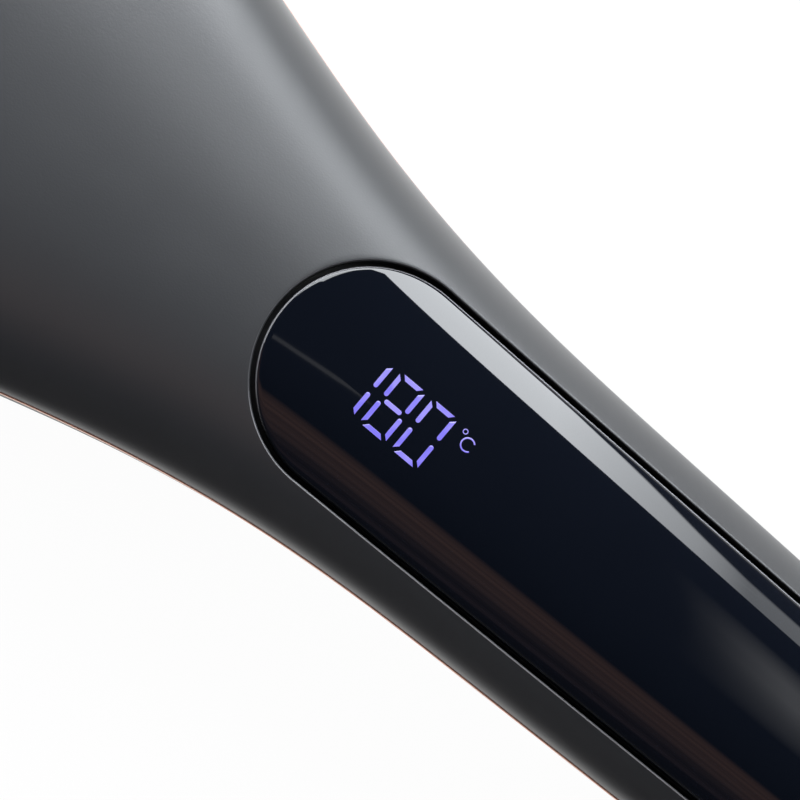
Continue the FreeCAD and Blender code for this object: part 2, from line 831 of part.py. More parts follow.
def front_housing():
    """Lower casing: open head with a ledge, shoulder wall, screw cups, posts and pump ribs."""
    ledge_ring = less(
        "ledge_ring",
        slab("ledge_slab", f"-{FAR}", SHOULDER_X, FRAME_TOP, named("ledge_thickness")),
        [prism("ledge_opening", draw_ledge, FRAME_TOP, named("ledge_thickness"))],
    )
    kept = [
        ledge_ring,
        slab("heel_ledge", f"({SHOULDER_X} - {WALL})", SHOULDER_X, FRAME_TOP,
             named("ledge_thickness")),
        slab("shoulder_wall", SHOULDER_X, f"({SHOULDER_X} + {WALL})", f"-{FAR}",
             f"({LEDGE_TOP} + {FAR})"),
    ]
    for i, spot in enumerate(CASING_SCREWS):
        kept.append(place(f"screw_cup{i}", spot, "0",
                          named("screw_head_radius + fit_gap + seat_wall"), FRONT_TOP))
    for i, spot in enumerate(POWER_POSTS):
        kept.append(place(f"power_post{i}", spot, "0", named("post_radius"), POWER_BASE))
    for i, share in enumerate(PUMP_RIB_SHARES):
        x = f"({PUMP_X} + {share} * {named('pump_length')})"
        kept.append(middle_box(f"pump_rib{i}", x, named("pump_radius + wall / 2"), "0",
                               WALL, FRONT_TOP))
    holes = [
        less("front_cavity", front_inner, kept),
        slab("head_opening", f"-{FAR}", SHOULDER_X, "0", RIM),
        cylinder("pump_seat", PUMP_X, "0", PUMP_Z, f"({named('pump_radius')} + {GAP})",
                 named("pump_length"), "X"),
        cylinder("front_sleeve_hole", TAIL_WALL_X, "0", AXIS, SLEEVE, FAR, "X"),
    ]
    for i, spot in enumerate(CASING_SCREWS):
        holes.append(place(f"front_screw_hole{i}", spot, "0", f"({SCREW} + {GAP} / 2)", FAR))
        holes.append(place(f"seat_hole{i}", spot, "0",
                           named("screw_head_radius + fit_gap"), SEAT_Z))
    depth = named("board_screw_bite + blind_end")
    for i, spot in enumerate(POWER_POSTS):
        holes.append(place(f"power_screw_hole{i}", spot, f"({POWER_BASE} - {depth})",
                           named("board_screw_radius"), depth))
    return keep("front_housing", less("front_casing", front_outer, holes))


def draw_ledge(sketch):
    """The ledge's inner edge: clear of the pins' heads, open at the heel."""
    radius = named("head_half_width - pin_inset + pin_head_radius + fit_gap")
    slot(sketch, TIP_CENTRE_X, radius, f"({SHOULDER_X} + {WALL})", radius)


def trim_band():
    """Metal band between the casings, standing a little proud of them."""
    base, thickness = mm(FRONT_TOP), mm(named("trim_thickness"))
    ring = plan_face(-mm(named("trim_proud"))).cut(plan_face(mm(named("trim_width"))))
    ring.translate(FreeCAD.Vector(0, 0, base))
    band = made("trim_ring", ring.extrude(FreeCAD.Vector(0, 0, thickness)))
    room = named("trim_width * 2")
    holes = [
        cylinder("trim_sleeve_hole", f"({TAIL_X} - {room})", "0", AXIS, SLEEVE, FAR, "X"),
        cylinder("trim_collar_hole", TAIL_X, "0", AXIS, f"({named('collar_radius')} + {GAP})",
                 FAR, "X"),
        cylinder("trim_flange_hole", f"({TAIL_X} - {room})", "0", AXIS,
                 f"({named('flange_radius')} + {GAP})", f"({room} - {WALL})", "X"),
    ]
    return keep("trim_band", less("trim", band, holes))


def casing_screws():
    """Screws from the cups in the front casing up into the back casing's bosses."""
    shank_end = f"({BACK_BASE} + {named('screw_engagement - blind_end / 2')} - {SEAT_Z})"
    head, high = named("screw_head_radius"), named("screw_head_height")
    screw = turned("casing_screw", [
        (f"-{high}", "0"), (f"-{high}", head), ("0", head), ("0", SCREW),
        (shank_end, SCREW), (shank_end, "0"),
    ], upright=True)
    spots = [(mm(at(s)), mm(named(y)), mm(SEAT_Z)) for s, y in CASING_SCREWS]
    return copies("housing_screws", screw, spots)


# ---------------------------------------------------------------------------------------------
# Display panel and keys
# ---------------------------------------------------------------------------------------------
def display_lens():
    """Curved glossy panel that drops into the recess, with round key openings."""
    lens_outer = form("back", named("lens_inset"), "lens_outer")
    blank = inside("lens_blank", [lens_outer, panel_prism("lens_outline", "0 - panel_gap")])
    holes = [lens_back]
    for i, name in enumerate(KEY_NAMES):
        holes.append(cylinder(f"{name}_lens_hole", key_station(i), "0", PLUNGER_TOP,
                              named("key_radius + key_gap"), FAR))
    return keep("display_lens", less("lens", blank, holes))


def lens_gasket():
    """Bonding tape round the panel's edge, between the lens and its floor."""
    ring = less("tape_ring", panel_prism("tape_outer", "0 - panel_gap"),
                [panel_prism("tape_inner", "0 - panel_gap - wall")])
    return keep("lens_gasket", less("tape", inside("tape_blank", [lens_back, ring]),
                                    [floor_top]))


def key_and_plunger(index, name):
    """A round key with its flange under the lens, and its switch's plunger below it."""
    radius = named("key_radius")
    flange = named("key_radius + key_flange")
    stem = named("key_stem_radius")
    high = f"({CROWN} - {PLUNGER_TOP})"
    low = named("key_flange_thickness")
    step = named("key_stem")
    edge = named("key_edge")
    x = key_station(index)
    keep(f"{name}_button", turned(f"{name}_key", [
        ("0", "0"), ("0", stem), (step, stem), (step, flange),
        (f"({step} + {low})", flange), (f"({step} + {low})", radius),
        (f"({high} - {edge})", radius), (high, f"({radius} - {edge})"),
        (f"({high} - {named('key_dish')})", "0"),
    ], x, PLUNGER_TOP, upright=True))
    depth = named("plunger_stand + switch_height / 3")
    keep(f"{name}_plunger", cylinder(f"{name}_tip", x, "0", f"({PLUNGER_TOP} - {depth})",
                                     named("plunger_radius"), depth))


def switch_bodies():
    """The four tactile switches' cases, each with a bore for its plunger."""
    side = named("switch_side")
    case = middle_box("switch_case", f"(-{side} / 2)", f"({side} / 2)", "0", side,
                      named("switch_height"))
    bore = cylinder("switch_bore", "0", "0", named("switch_floor"),
                    named("plunger_radius + running_gap"), FAR)
    switch = less("switch", case, [bore])
    places = [(mm(key_station(i)), 0, mm(CONTROL_TOP)) for i in range(len(KEY_NAMES))]
    return copies("switch_bodies", switch, places)


def control_board():
    """Board that carries the display and the switches, screwed up to the back casing."""
    thickness = named("board_thickness")
    holes = [(at(s), named(y), named("board_screw_radius + running_gap"))
             for s, y in CONTROL_POSTS]
    return keep("control_board", plate_body(
        "control_plate", at("0 - control_head_reach"), at("control_tail_reach"),
        named("board_half_width"), thickness, "0", f"({CONTROL_TOP} - {thickness})", holes))


def display_module():
    """Seven-segment display block, standing through the panel's floor."""
    length = named("digit_block_length")
    return keep("display_module", middle_box(
        "display_block", f"({DISPLAY} - {length} / 2)", named("digit_block_width / 2"),
        CONTROL_TOP, length, named("digit_block_height")))


def board_chips():
    """Controller, memory and regulator packages under the control board."""
    high = named("chip_height")
    low = f"({CONTROL_TOP} - {named('board_thickness')} - {high})"
    chips = []
    for chip in ("controller", "memory", "regulator"):
        side = named(f"{chip}_side")
        chips.append(middle_box(chip, at(f"{chip}_station"), f"({side} / 2)", low, side, high))
    doc.recompute()
    return keep("board_chips", made("chips", Part.makeCompound([c.Shape for c in chips])))


def board_screws():
    """Small screws that hold both boards: upwards for the upper, downwards for the lower."""
    radius, head = named("board_screw_radius"), named("board_screw_head")
    high = named("board_screw_head_height")
    length = named("board_thickness + board_screw_bite")
    screw = turned("board_screw", [
        (f"-{high}", "0"), (f"-{high}", head), ("0", head), ("0", radius),
        (length, radius), (length, "0"),
    ], upright=True)
    doc.recompute()
    upper = mm(CONTROL_TOP) - mm(named("board_thickness"))
    solids = [
        screw.Shape.translated(FreeCAD.Vector(mm(at(s)), mm(named(y)), upper))
        for s, y in CONTROL_POSTS
    ]
    flipped = screw.Shape.rotated(FreeCAD.Vector(), FreeCAD.Vector(1, 0, 0), 180)
    for s, y in POWER_POSTS:
        solids.append(flipped.translated(FreeCAD.Vector(mm(at(s)), mm(named(y)),
                                                        mm(POWER_TOP))))
    return keep("board_screws", made("board_screw_group", Part.makeCompound(solids)))


# ---------------------------------------------------------------------------------------------
# Power board and pump
# ---------------------------------------------------------------------------------------------
def power_board():
    """Mains board on its posts in the grip."""
    holes = [(at(s), named(y), named("board_screw_radius + running_gap"))
             for s, y in POWER_POSTS]
    return keep("power_board", plate_body(
        "power_plate", at("power_head_station"), at("power_head_station + power_length"),
        named("board_half_width"), named("board_thickness"), "0", POWER_BASE, holes))


def power_parts():
    """Capacitor, transformer and the heater switch's finned sink on the power board."""
    can, high = named("capacitor_radius"), named("capacitor_height")
    crimp, low = named("crimp"), named("crimp_start")
    keep("filter_capacitor", turned("capacitor", [
        ("0", "0"), ("0", can), (low, can), (f"({low} + {crimp})", f"({can} - {crimp})"),
        (f"({low} + 2 * {crimp})", can), (f"({high} - {crimp})", can),
        (high, f"({can} - {crimp})"), (high, "0"),
    ], at("power_head_station + capacitor_station"), POWER_TOP, upright=True))
    length, width = named("transformer_length"), named("transformer_half_width")
    height, limb = named("transformer_height"), named("core_limb")
    x = at("power_head_station + transformer_station")
    core = middle_box("core", x, width, POWER_TOP, length, height)
    window = middle_box("core_window", f"({x} + {limb})", f"(2 * {width})",
                        f"({POWER_TOP} + {limb})", f"({length} - 2 * {limb})",
                        f"({height} - 2 * {limb})")
    keep("transformer_core", less("transformer_cut", core, [window]))
    keep("transformer_winding", middle_box(
        "winding", f"({x} + {limb})", f"({width} + {named('winding_bulge')})",
        f"({POWER_TOP} + {limb})", f"({length} - 2 * {limb})", f"({height} - 2 * {limb})"))
    x, length = at("power_head_station + sink_station"), named("sink_length")
    half, thin = named("sink_half_width"), named("fin_thickness")
    fins = [middle_box("sink_plate", x, half, POWER_TOP, length, named("sink_foot"))]
    for i in range(FINS):
        fins.append(box(f"fin{i}", x, f"({i} * (2 * {half} - {thin}) / {FINS - 1} - {half})",
                        POWER_TOP, length, thin, named("sink_height")))
    return keep("triac_heatsink", joined("sink", fins))


def water_pump():
    """Small pump in the neck; water goes in at the top and out at the bottom."""
    radius, length = named("pump_radius"), named("pump_length")
    grip, bore, hole = named("hose_grip"), named("hose_bore"), named("hose_bore / 2")
    solids = [cylinder("pump_can", PUMP_X, "0", PUMP_Z, radius, length, "X")]
    holes = []
    for label, z in (("feed", FEED_Z), ("steam", STEAM_Z)):
        start = f"({PUMP_X} - {grip})"
        solids.append(cylinder(f"pump_{label}_spigot", start, "0", z, bore, f"2 * {grip}", "X"))
        holes.append(cylinder(f"pump_{label}_hole", start, "0", z, hole, f"1.5 * {grip}", "X"))
    return keep("water_pump", less("pump", joined("pump_solid", solids), holes))


def hose(label, x1, x2, z):
    """A straight length of hose between two spigots."""
    inner, outer = named("hose_bore"), named("hose_radius")
    length = f"(({x2}) - ({x1}))"
    return keep(label, turned(label + "_tube", [
        ("0", inner), ("0", outer), (length, outer), (length, inner),
    ], x1, z))


# ---------------------------------------------------------------------------------------------
# Head: frame, plate, teeth, pins and steam
# ---------------------------------------------------------------------------------------------
def bristle_frame():
    """Frame inside the rim: window with a lip under the plate, and a hole for each pin."""
    blank = inside("frame_blank", [
        form("front", f"({WALL} + {GAP})", "frame_form"),
        slab("frame_slab", f"-{FAR}", BRISTLE_HEEL_X, RIM, named("frame_thickness")),
    ])
    tools = [
        plate_prism("plate_window", GAP, PLATE_FACE, FAR),
        plate_prism("lip_window", named("0 - plate_lip"), "0", FAR),
    ]
    doc.recompute()
    pin = cylinder("pin_hole", "0", "0", RIM, named("pin_radius"), FAR)
    doc.recompute()
    holes = [pin.Shape.translated(FreeCAD.Vector(x, y, 0)) for x, y in pin_places()]
    tools.append(made("pin_holes", Part.makeCompound(holes)))
    return keep("bristle_frame", less("frame", blank, tools))


def nylon_bristles():
    """Cool pins with flat heads on the frame's upper face."""
    top = f"({FRAME_TOP} + {named('pin_head_thickness')})"
    tip, root, head = named("pin_tip_radius"), named("pin_radius"), named("pin_head_radius")
    pin = turned("pin", [
        ("0", "0"), ("0", tip), (f"({root} - {tip})", root), (FRAME_TOP, root),
        (FRAME_TOP, head), (top, head), (top, "0"),
    ], upright=True)
    return copies("nylon_bristles", pin, [(x, y, 0) for x, y in pin_places()])


def heating_plate():
    """Aluminium plate with steam outlets and bosses for the heater clamps."""
    blank = plate_prism("plate_blank", NONE, PLATE_FACE, named("plate_thickness"))
    bosses = []
    for i, (x, y) in enumerate(clamp_screw_spots()):
        bosses.append(cylinder(f"clamp_boss{i}", x, y,
                               f"({PLATE_BACK} - {named('clamp_boss_root')})",
                               named("screw_head_radius"),
                               named("clamp_boss_root + heater_thickness")))
    doc.recompute()
    outlet = cylinder("outlet", "0", "0", "0", named("outlet_radius"), FAR)
    doc.recompute()
    holes = [outlet.Shape.translated(FreeCAD.Vector(x, y, 0)) for x, y in outlet_places()]
    tools = [made("outlets", Part.makeCompound(holes))]
    for i, (x, y) in enumerate(clamp_screw_spots()):
        tools.append(cylinder(f"clamp_hole{i}", x, y, CLAMP_SCREW_END, SCREW, FAR))
    return keep("heating_plate", less("plate", joined("plate_solid", [blank] + bosses), tools))


def clamp_screw_spots():
    """(x, y) formulas of the heater clamps' screws."""
    reach = named("clamp_length / 2 - screw_head_radius")
    offset = named("heater_offset")
    return [
        (f"({PLATE_X} + {along} * {reach})", f"({across} * {offset})")
        for across in (-1, 1)
        for along in (-1, 1)
    ]


def draw_stadium(length, width):
    """A function that draws a rounded bar about the sketch's centre."""
    def draw(sketch):
        radius = f"({width} / 2)"
        reach = f"({length} / 2 - {width} / 2)"
        slot(sketch, f"(-{reach})", radius, reach, radius)
    return draw


def teeth_and_caps():
    """Heated teeth under the plate, and the cool caps pushed over their ends."""
    length, width = named("tooth_length"), named("tooth_width")
    wall = named("cap_wall")
    start = named("cap_height - cap_socket")
    tooth = prism("tooth", draw_stadium(length, width), start, f"({PLATE_FACE} - {start})")
    copies("heated_teeth", tooth, [(x, y, 0) for x, y in tooth_places()])
    body = new_body("cap")
    outer = body_sketch(body, "cap_outline", "XY_Plane")
    draw_stadium(f"({length} + 2 * {wall})", f"({width} + 2 * {wall})")(outer)
    whole = pad(body, outer, named("cap_height"))
    doc.recompute()
    tip = body.newObject("PartDesign::Chamfer", "cap_tip")
    tip.Base = (whole, [face_at(whole.Shape, 0)])
    tip.Size = mm(f"({width} / 2)")
    bind(tip, Size=f"({width} / 2)")
    socket = body_sketch(body, "socket_outline", "XY_Plane")
    draw_stadium(length, width)(socket)
    bind(socket, **{"AttachmentOffset.Base.z": start})
    pocket = body.newObject("PartDesign::Pocket", "socket")
    pocket.Profile = socket
    pocket.Reversed = True
    bind(pocket, Length=named("cap_socket"))
    copies("tooth_caps", body, [(x, y, 0) for x, y in tooth_places()])


def face_at(shape, height):
    """Name of the flat face whose centre lies at a height."""
    gaps = [abs(f.CenterOfMass.z - height) for f in shape.Faces]
    return f"Face{gaps.index(min(gaps)) + 1}"


def steam_manifold():
    """Gasket and domed chamber that spread steam over the outlets."""
    half, width = named("manifold_half_length"), named("manifold_half_width")
    wall, seal = named("manifold_wall"), named("gasket_thickness")
    base = f"({PLATE_BACK} + {seal})"

    def ring(name, z, height):
        outer = middle_box(name + "_outer", f"({PLATE_X} - {half})", width, z,
                           f"2 * {half}", height)
        inner = middle_box(name + "_inner", f"({PLATE_X} - {half} + {wall})",
                           f"({width} - {wall})", z, f"2 * ({half} - {wall})",
                           f"({height} - {NONE if name == 'gasket' else wall})")
        return outer, inner

    outer, inner = ring("gasket", PLATE_BACK, seal)
    keep("manifold_gasket", less("gasket_ring", outer, [inner]))
    outer, inner = ring("manifold", base, named("manifold_height"))
    grip = named("hose_grip")
    spigot = cylinder("manifold_spigot", f"({PLATE_X} + {half} - {wall} / 2)", "0", STEAM_Z,
                      named("hose_bore"), f"({grip} + {wall} / 2)", "X")
    hole = cylinder("manifold_hole", f"({PLATE_X} + {half} - 2 * {wall})", "0", STEAM_Z,
                    named("hose_bore / 2"), FAR, "X")
    return keep("steam_manifold", less("manifold", joined("manifold_solid", [outer, spigot]),
                                       [inner, hole]))


def heaters():
    """Two flat heaters, their clamp bars and screws, the cut-out, sensor and shield."""
    length, width = named("heater_length"), named("heater_width")
    thick, bar = named("heater_thickness"), named("clamp_thickness")
    long, offset = named("clamp_length"), named("heater_offset")
    top = f"({PLATE_BACK} + {thick})"
    bars, pads = [], []
    for side in (-1, 1):
        tag = "left" if side < 0 else "right"
        pads.append(box(f"{tag}_heater", f"({PLATE_X} - {length} / 2)",
                        f"({side} * {offset} - {width} / 2)", PLATE_BACK, length, width, thick))
        bars.append(box(f"{tag}_bar", f"({PLATE_X} - {long} / 2)",
                        f"({side} * {offset} - {width} / 3)", top, long,
                        f"(2 * {width} / 3)", bar))
    doc.recompute()
    keep("heater_elements", made("heater_pair", Part.makeCompound([p.Shape for p in pads])))
    holes = [cylinder(f"bar_hole{i}", x, y, top, SCREW, FAR)
             for i, (x, y) in enumerate(clamp_screw_spots())]
    doc.recompute()
    drilled = [b.Shape.cut([h.Shape for h in holes]) for b in bars]
    keep("heater_clamps", made("clamp_pair", Part.makeCompound(drilled)))
    head, high = named("screw_head_radius"), named("screw_head_height")
    reach = f"({top} + {bar} - {CLAMP_SCREW_END})"
    screw = turned("clamp_screw", [
        (f"-{reach}", "0"), (f"-{reach}", SCREW), ("0", SCREW), ("0", head), (high, head),
        (high, "0"),
    ], upright=True)
    copies("clamp_screws", screw,
           [(mm(x), mm(y), mm(f"({top} + {bar})")) for x, y in clamp_screw_spots()])
    seat = f"({top} + {bar})"
    cut_long, cut_wide = named("cutoff_length"), named("cutoff_width")
    keep("thermal_cutoff", box("cutoff", f"({PLATE_X} - {cut_long} / 2)",
                               f"({offset} - {cut_wide} / 2)", seat,
                               cut_long, cut_wide, named("cutoff_height")))
    bead, bead_long = named("bead_radius"), named("bead_length")
    keep("thermistor", cylinder("bead", f"({PLATE_X} - {bead_long} / 2)", f"-{offset}",
                                f"({seat} + {bead})", bead, bead_long, "X"))
    shield_z = f"({PLATE_BACK} + {named('gasket_thickness + manifold_height')})"
    return keep("heat_shield", plate_prism("shield", NONE, shield_z,
                                           named("shield_thickness")))


# ---------------------------------------------------------------------------------------------
# Water tank, its dock and filler plug
# ---------------------------------------------------------------------------------------------
def tank():
    """Clear tank that forms the back of the head and slides off towards the tip."""
    wall = named("tank_wall")
    filler_x = at("0 - filler_station")
    seat = f"({CROWN} - {named('filler_head_thickness')})"
    neck = cylinder("filler_neck", filler_x, "0", f"({seat} - {named('filler_stem')})",
                    named("filler_head_radius + fit_gap + tank_wall / 2"), FAR)
    room = inside("tank_room", [
        tank_inner, slab("room_slab", f"-{FAR}", f"({TANK_END_X} - {wall})", TANK_BASE, FAR),
    ])
    blank = inside("tank_blank", [
        back_outer, slab("tank_slab", f"-{FAR}", TANK_END_X, TANK_BASE, FAR),
    ])
    keep("tank_shell", less("tank_wall_cut", blank, [
        less("tank_hollow", room, [neck]),
        cylinder("filler_hole", filler_x, "0", "0", named("filler_radius + running_gap"), FAR),
        cylinder("filler_seat", filler_x, "0", seat,
                 named("filler_head_radius + fit_gap"), FAR),
        cylinder("outlet_hole", f"({TANK_END_X} - {wall})", "0", FEED_Z, PIPE, wall, "X"),
    ]))
    floor = inside("tank_floor_plate", [
        tank_inner,
        slab("floor_slab", f"-{FAR}", f"({TANK_END_X} - {wall})", TANK_BASE,
             named("tank_floor")),
    ])
    rail_z = f"({DECK_TOP} - {named('key_depth')} + {GAP})"
    rail = middle_box("tank_rail", at("0 - head_reach + tip_round / 3"),
                      named("key_half_width"), rail_z,
                      named("head_reach - bay_station - tip_round / 3 - wall * 2"),
                      f"({TANK_BASE} - {rail_z} + {named('rail_root')})")
    keep("tank_base", joined("tank_bottom", [floor, rail]))
    inner = named("outlet_pipe_radius - hose_bore / 2")
    flange = named("outlet_pipe_radius + pipe_flange")
    back = f"(-{wall})"
    rear = f"({back} - {named('pipe_flange_thickness')})"
    keep("tank_outlet", turned("outlet_pipe", [
        (rear, inner), (rear, flange), (back, flange), (back, PIPE),
        (named("outlet_pipe_length"), PIPE), (named("outlet_pipe_length"), inner),
    ], TANK_END_X, FEED_Z))
    head = named("filler_head_radius")
    stem = named("filler_stem")
    thick = named("filler_head_thickness")
    radius = named("filler_radius")
    lead_in, edge, lift = named("filler_lead"), named("filler_edge"), named("filler_lift")
    keep("filler_plug", turned("plug", [
        (f"-{stem}", "0"), (f"-{stem}", f"({radius} - {lead_in})"),
        (f"({lead_in} - {stem})", radius), (lift, radius), (lift, head),
        (f"({thick} - {edge})", head), (thick, f"({head} - {edge})"), (thick, "0"),
    ], filler_x, seat, upright=True))


def dock():
    """Socket behind the bay wall that the tank's pipe pushes into, with its seal."""
    outer, grip = named("outlet_pipe_radius + dock_wall"), named("hose_grip")
    bore = f"({PIPE} + {named('running_gap')})"
    seal = f"({PIPE} + {named('seal_thickness')})"
    length, bead = named("dock_length"), named("seal_thickness")
    depth = named("outlet_pipe_length - wall + fit_gap")
    spigot = named("hose_bore")
    lip = named("dock_lip")
    keep("tank_dock", turned("socket_body", [
        ("0", bore), ("0", outer), (length, outer), (length, spigot),
        (f"({length} + {grip})", spigot), (f"({length} + {grip})", f"({spigot} / 2)"),
        (depth, f"({spigot} / 2)"), (depth, bore), (f"({lip} + {bead})", bore),
        (f"({lip} + {bead})", seal), (lip, seal), (lip, bore),
    ], f"({BAY_X} + {WALL})", FEED_Z))
    inner = f"({PIPE} + {named('seal_play')})"
    keep("dock_seal", turned("seal_ring", [
        ("0", inner), ("0", seal), (bead, seal), (bead, inner),
    ], f"({BAY_X} + {WALL} + {lip})", FEED_Z))


# ---------------------------------------------------------------------------------------------
# Cord swivel
# ---------------------------------------------------------------------------------------------
def swivel():
    """Turning cord bush with its slip rings, in a fixed sleeve and collar."""
    neck, knob = NECK, named("knob_radius")
    play, collar = named("running_gap"), named("collar_thickness")
    flange, thick = named("flange_radius"), named("flange_thickness")
    stub, back = named("stub_radius"), named("stub_length")
    reach, bore = named("gland_reach"), named("cord_bore_radius")
    floor = f"({reach} - {named('cord_bore_depth')})"
    inner = f"(-{WALL} - {play})"
    start = f"({collar} + {play} * 2)"
    edge, end_edge = named("knob_edge"), named("knob_end_edge")
    keep("swivel_bush", turned("bush", [
        (f"({inner} - {thick} - {back})", "0"), (f"({inner} - {thick} - {back})", stub),
        (f"({inner} - {thick})", stub), (f"({inner} - {thick})", flange), (inner, flange),
        (inner, neck), (start, neck), (start, f"({knob} - {edge})"),
        (f"({start} + {edge})", knob), (f"({reach} - {end_edge})", knob),
        (reach, f"({knob} - {end_edge})"), (reach, bore),
        (floor, bore), (floor, "0"),
    ], TAIL_X, AXIS))
    hole = f"({neck} + {play})"
    keep("end_collar", turned("collar", [
        ("0", hole), ("0", named("collar_radius")),
        (named("collar_thickness - collar_edge"), named("collar_radius")),
        (collar, named("collar_radius - collar_edge")), (collar, hole),
    ], TAIL_X, AXIS))
    keep("swivel_sleeve", turned("sleeve", [
        ("0", hole), ("0", SLEEVE), (WALL, SLEEVE), (WALL, hole),
    ], TAIL_WALL_X, AXIS))
    width = named("ring_width")
    ring = turned("slip_ring", [
        ("0", stub), ("0", named("stub_radius + ring_thickness")),
        (width, named("stub_radius + ring_thickness")), (width, stub),
    ])
    inset = named("contact_inset")
    stub_end = f"({TAIL_WALL_X} - {play} - {thick} - {back})"
    first = mm(f"({stub_end} + 2 * {inset})")
    pitch = mm(named("ring_pitch"))
    places = [(first + i * pitch, 0, mm(AXIS)) for i in range(2)]
    copies("slip_rings", ring, places)
    leaf_top = f"({AXIS} - {named('stub_radius + ring_thickness + running_gap')})"
    leaf = named("leaf_thickness")
    strip = middle_box("leaf", f"(({width} - {named('leaf_width')}) / 2)",
                       named("leaf_half_length"), f"({leaf_top} - {leaf} - {AXIS})",
                       named("leaf_width"), leaf)
    copies("contact_springs", strip, places)
    high = named("block_height")
    keep("contact_block", middle_box(
        "spring_block", f"({stub_end} + {inset})",
        named("block_half_width"), f"({leaf_top} - {leaf} - {high})",
        f"({back} - 2 * {inset})", high))


# ---------------------------------------------------------------------------------------------
# Internal leads
# ---------------------------------------------------------------------------------------------
def lead(points):
    """A lead's solid: straight runs between points, joined by tangent arcs."""
    radius, bend = mm(named("lead_radius")), mm(named("lead_bend"))
    corners = [FreeCAD.Vector(*p) for p in points]
    edges = []
    start = corners[0]
    for before, corner, after in zip(corners, corners[1:], corners[2:]):
        into = (corner - before).normalize()
        out = (after - corner).normalize()
        half = into.getAngle(out) / 2
        cut = bend * math.tan(half)
        first = corner - into * cut
        last = corner + out * cut
        inward = (out - into).normalize()
        middle = corner + inward * (bend / math.cos(half) - bend)
        edges.append(Part.makeLine(start, first))
        edges.append(Part.Arc(first, middle, last).toShape())
        start = last
    edges.append(Part.makeLine(start, corners[-1]))
    section_wire = Part.Wire([Part.makeCircle(radius, corners[0], corners[1] - corners[0])])
    return Part.Wire(edges).makePipeShell([section_wire], True, False)


def internal_leads():
    """Heater leads through the neck to the power board, and mains leads from the swivel."""
    radius = mm(named("lead_radius"))
    play = mm(named("fit_gap"))
    high = mm(f"({LEDGE_TOP} + {GAP} / 2)") + radius
    on_board = mm(POWER_TOP) + radius + play / 6
    heater_end = mm(f"({PLATE_X} + {named('heater_length / 2')})")
    outside = mm(named("heater_offset - heater_width / 2 + lead_radius + fit_gap"))
    between = mm(named("post_spread - board_screw_head - lead_radius - fit_gap"))
    pump_end = mm(f"({PUMP_X} + {named('pump_length')})")
    board_start = mm(at("power_head_station"))
    turn = mm(named("lead_bend"))
    heater_wires = [
        lead([
            (heater_end, side * outside, high), (pump_end - turn, side * outside, high),
            (pump_end + turn * 1.5, side * between, high),
            (board_start + turn / 4, side * between, on_board),
            (board_start + turn * 2, side * between, on_board),
        ])
        for side in (-1, 1)
    ]
    keep("heater_leads", made("heater_wires", Part.makeCompound(heater_wires)))
    start = mm(at("power_head_station + power_length")) - 3 * radius
    stub_end = named("running_gap + flange_thickness + stub_length - contact_inset")
    end = mm(f"({TAIL_WALL_X} - {stub_end})")
    spread = mm(named("screw_head_radius + fit_gap + seat_wall + lead_radius + fit_gap / 2"))
    wires = [lead([(start, side * spread, on_board), (end, side * spread, on_board)])
             for side in (-1, 1)]
    keep("mains_leads", made("mains_wires", Part.makeCompound(wires)))


back_housing()
front_housing()
trim_band()
casing_screws()
display_lens()
lens_gasket()
for number, key_name in enumerate(KEY_NAMES):
    key_and_plunger(number, key_name)
switch_bodies()
control_board()
display_module()
board_chips()
power_board()
power_parts()
board_screws()
water_pump()
hose("inlet_tube", f"({BAY_X} + {WALL} + {named('dock_length')})", PUMP_X, FEED_Z)
hose("outlet_tube", f"({PLATE_X} + {named('manifold_half_length')})", PUMP_X, STEAM_Z)
bristle_frame()
nylon_bristles()
heating_plate()
teeth_and_caps()
steam_manifold()
heaters()
tank()
dock()
swivel()
internal_leads()

doc.recompute()
for item in doc.Objects:
    if "Invalid" in item.State or "Error" in item.State:
        raise RuntimeError(f"{item.Name} did not recompute: {item.State}")
for label, item in nodes.items():
    if item.Shape.isNull() or not item.Shape.isValid() or not item.Shape.Solids:
        raise RuntimeError(f"{label} has no valid shape")

os.makedirs("parts", exist_ok=True)
for label, item in nodes.items():
    item.Shape.exportStep(f"parts/{label}.step")
print(len(nodes), "parts written")
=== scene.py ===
import logging
import math
from dataclasses import dataclass, replace
from enum import Enum
from typing import Sequence, Union

import bmesh
import bpy
import numpy as np
from mathutils import Matrix, Vector


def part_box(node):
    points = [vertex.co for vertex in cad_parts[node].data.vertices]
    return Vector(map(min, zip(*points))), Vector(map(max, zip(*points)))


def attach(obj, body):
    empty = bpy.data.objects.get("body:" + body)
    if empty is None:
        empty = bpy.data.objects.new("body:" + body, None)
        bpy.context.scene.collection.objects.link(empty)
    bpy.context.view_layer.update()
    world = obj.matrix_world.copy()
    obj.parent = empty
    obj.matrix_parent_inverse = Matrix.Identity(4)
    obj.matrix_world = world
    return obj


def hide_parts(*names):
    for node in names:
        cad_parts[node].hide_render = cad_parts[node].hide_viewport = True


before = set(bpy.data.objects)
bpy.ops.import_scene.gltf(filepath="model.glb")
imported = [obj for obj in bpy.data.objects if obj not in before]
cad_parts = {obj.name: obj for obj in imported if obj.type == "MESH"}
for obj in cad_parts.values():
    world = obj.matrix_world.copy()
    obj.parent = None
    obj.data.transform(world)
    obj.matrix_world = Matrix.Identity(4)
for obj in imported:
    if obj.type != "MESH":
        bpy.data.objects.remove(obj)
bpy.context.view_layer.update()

# Looks of a steam hair straightener brush. Metres, in the CAD frame: +X from the head's tip to
# the tail, +Y across the handle, +Z up through the display panel, the tooth tips on z = 0.

MM = 0.001
FIT_GAP = 0.3 * MM
MERGE = 2e-7
SHARP_DEGREES = 32.0
ROUND_DEGREES = 40.0
LOG = logging.getLogger("steam_brush")
Colour = tuple[float, float, float]
Spot = tuple[float, float, float]
Profile = Sequence[tuple[float, float]]
Drive = Union["Value", float, Colour]

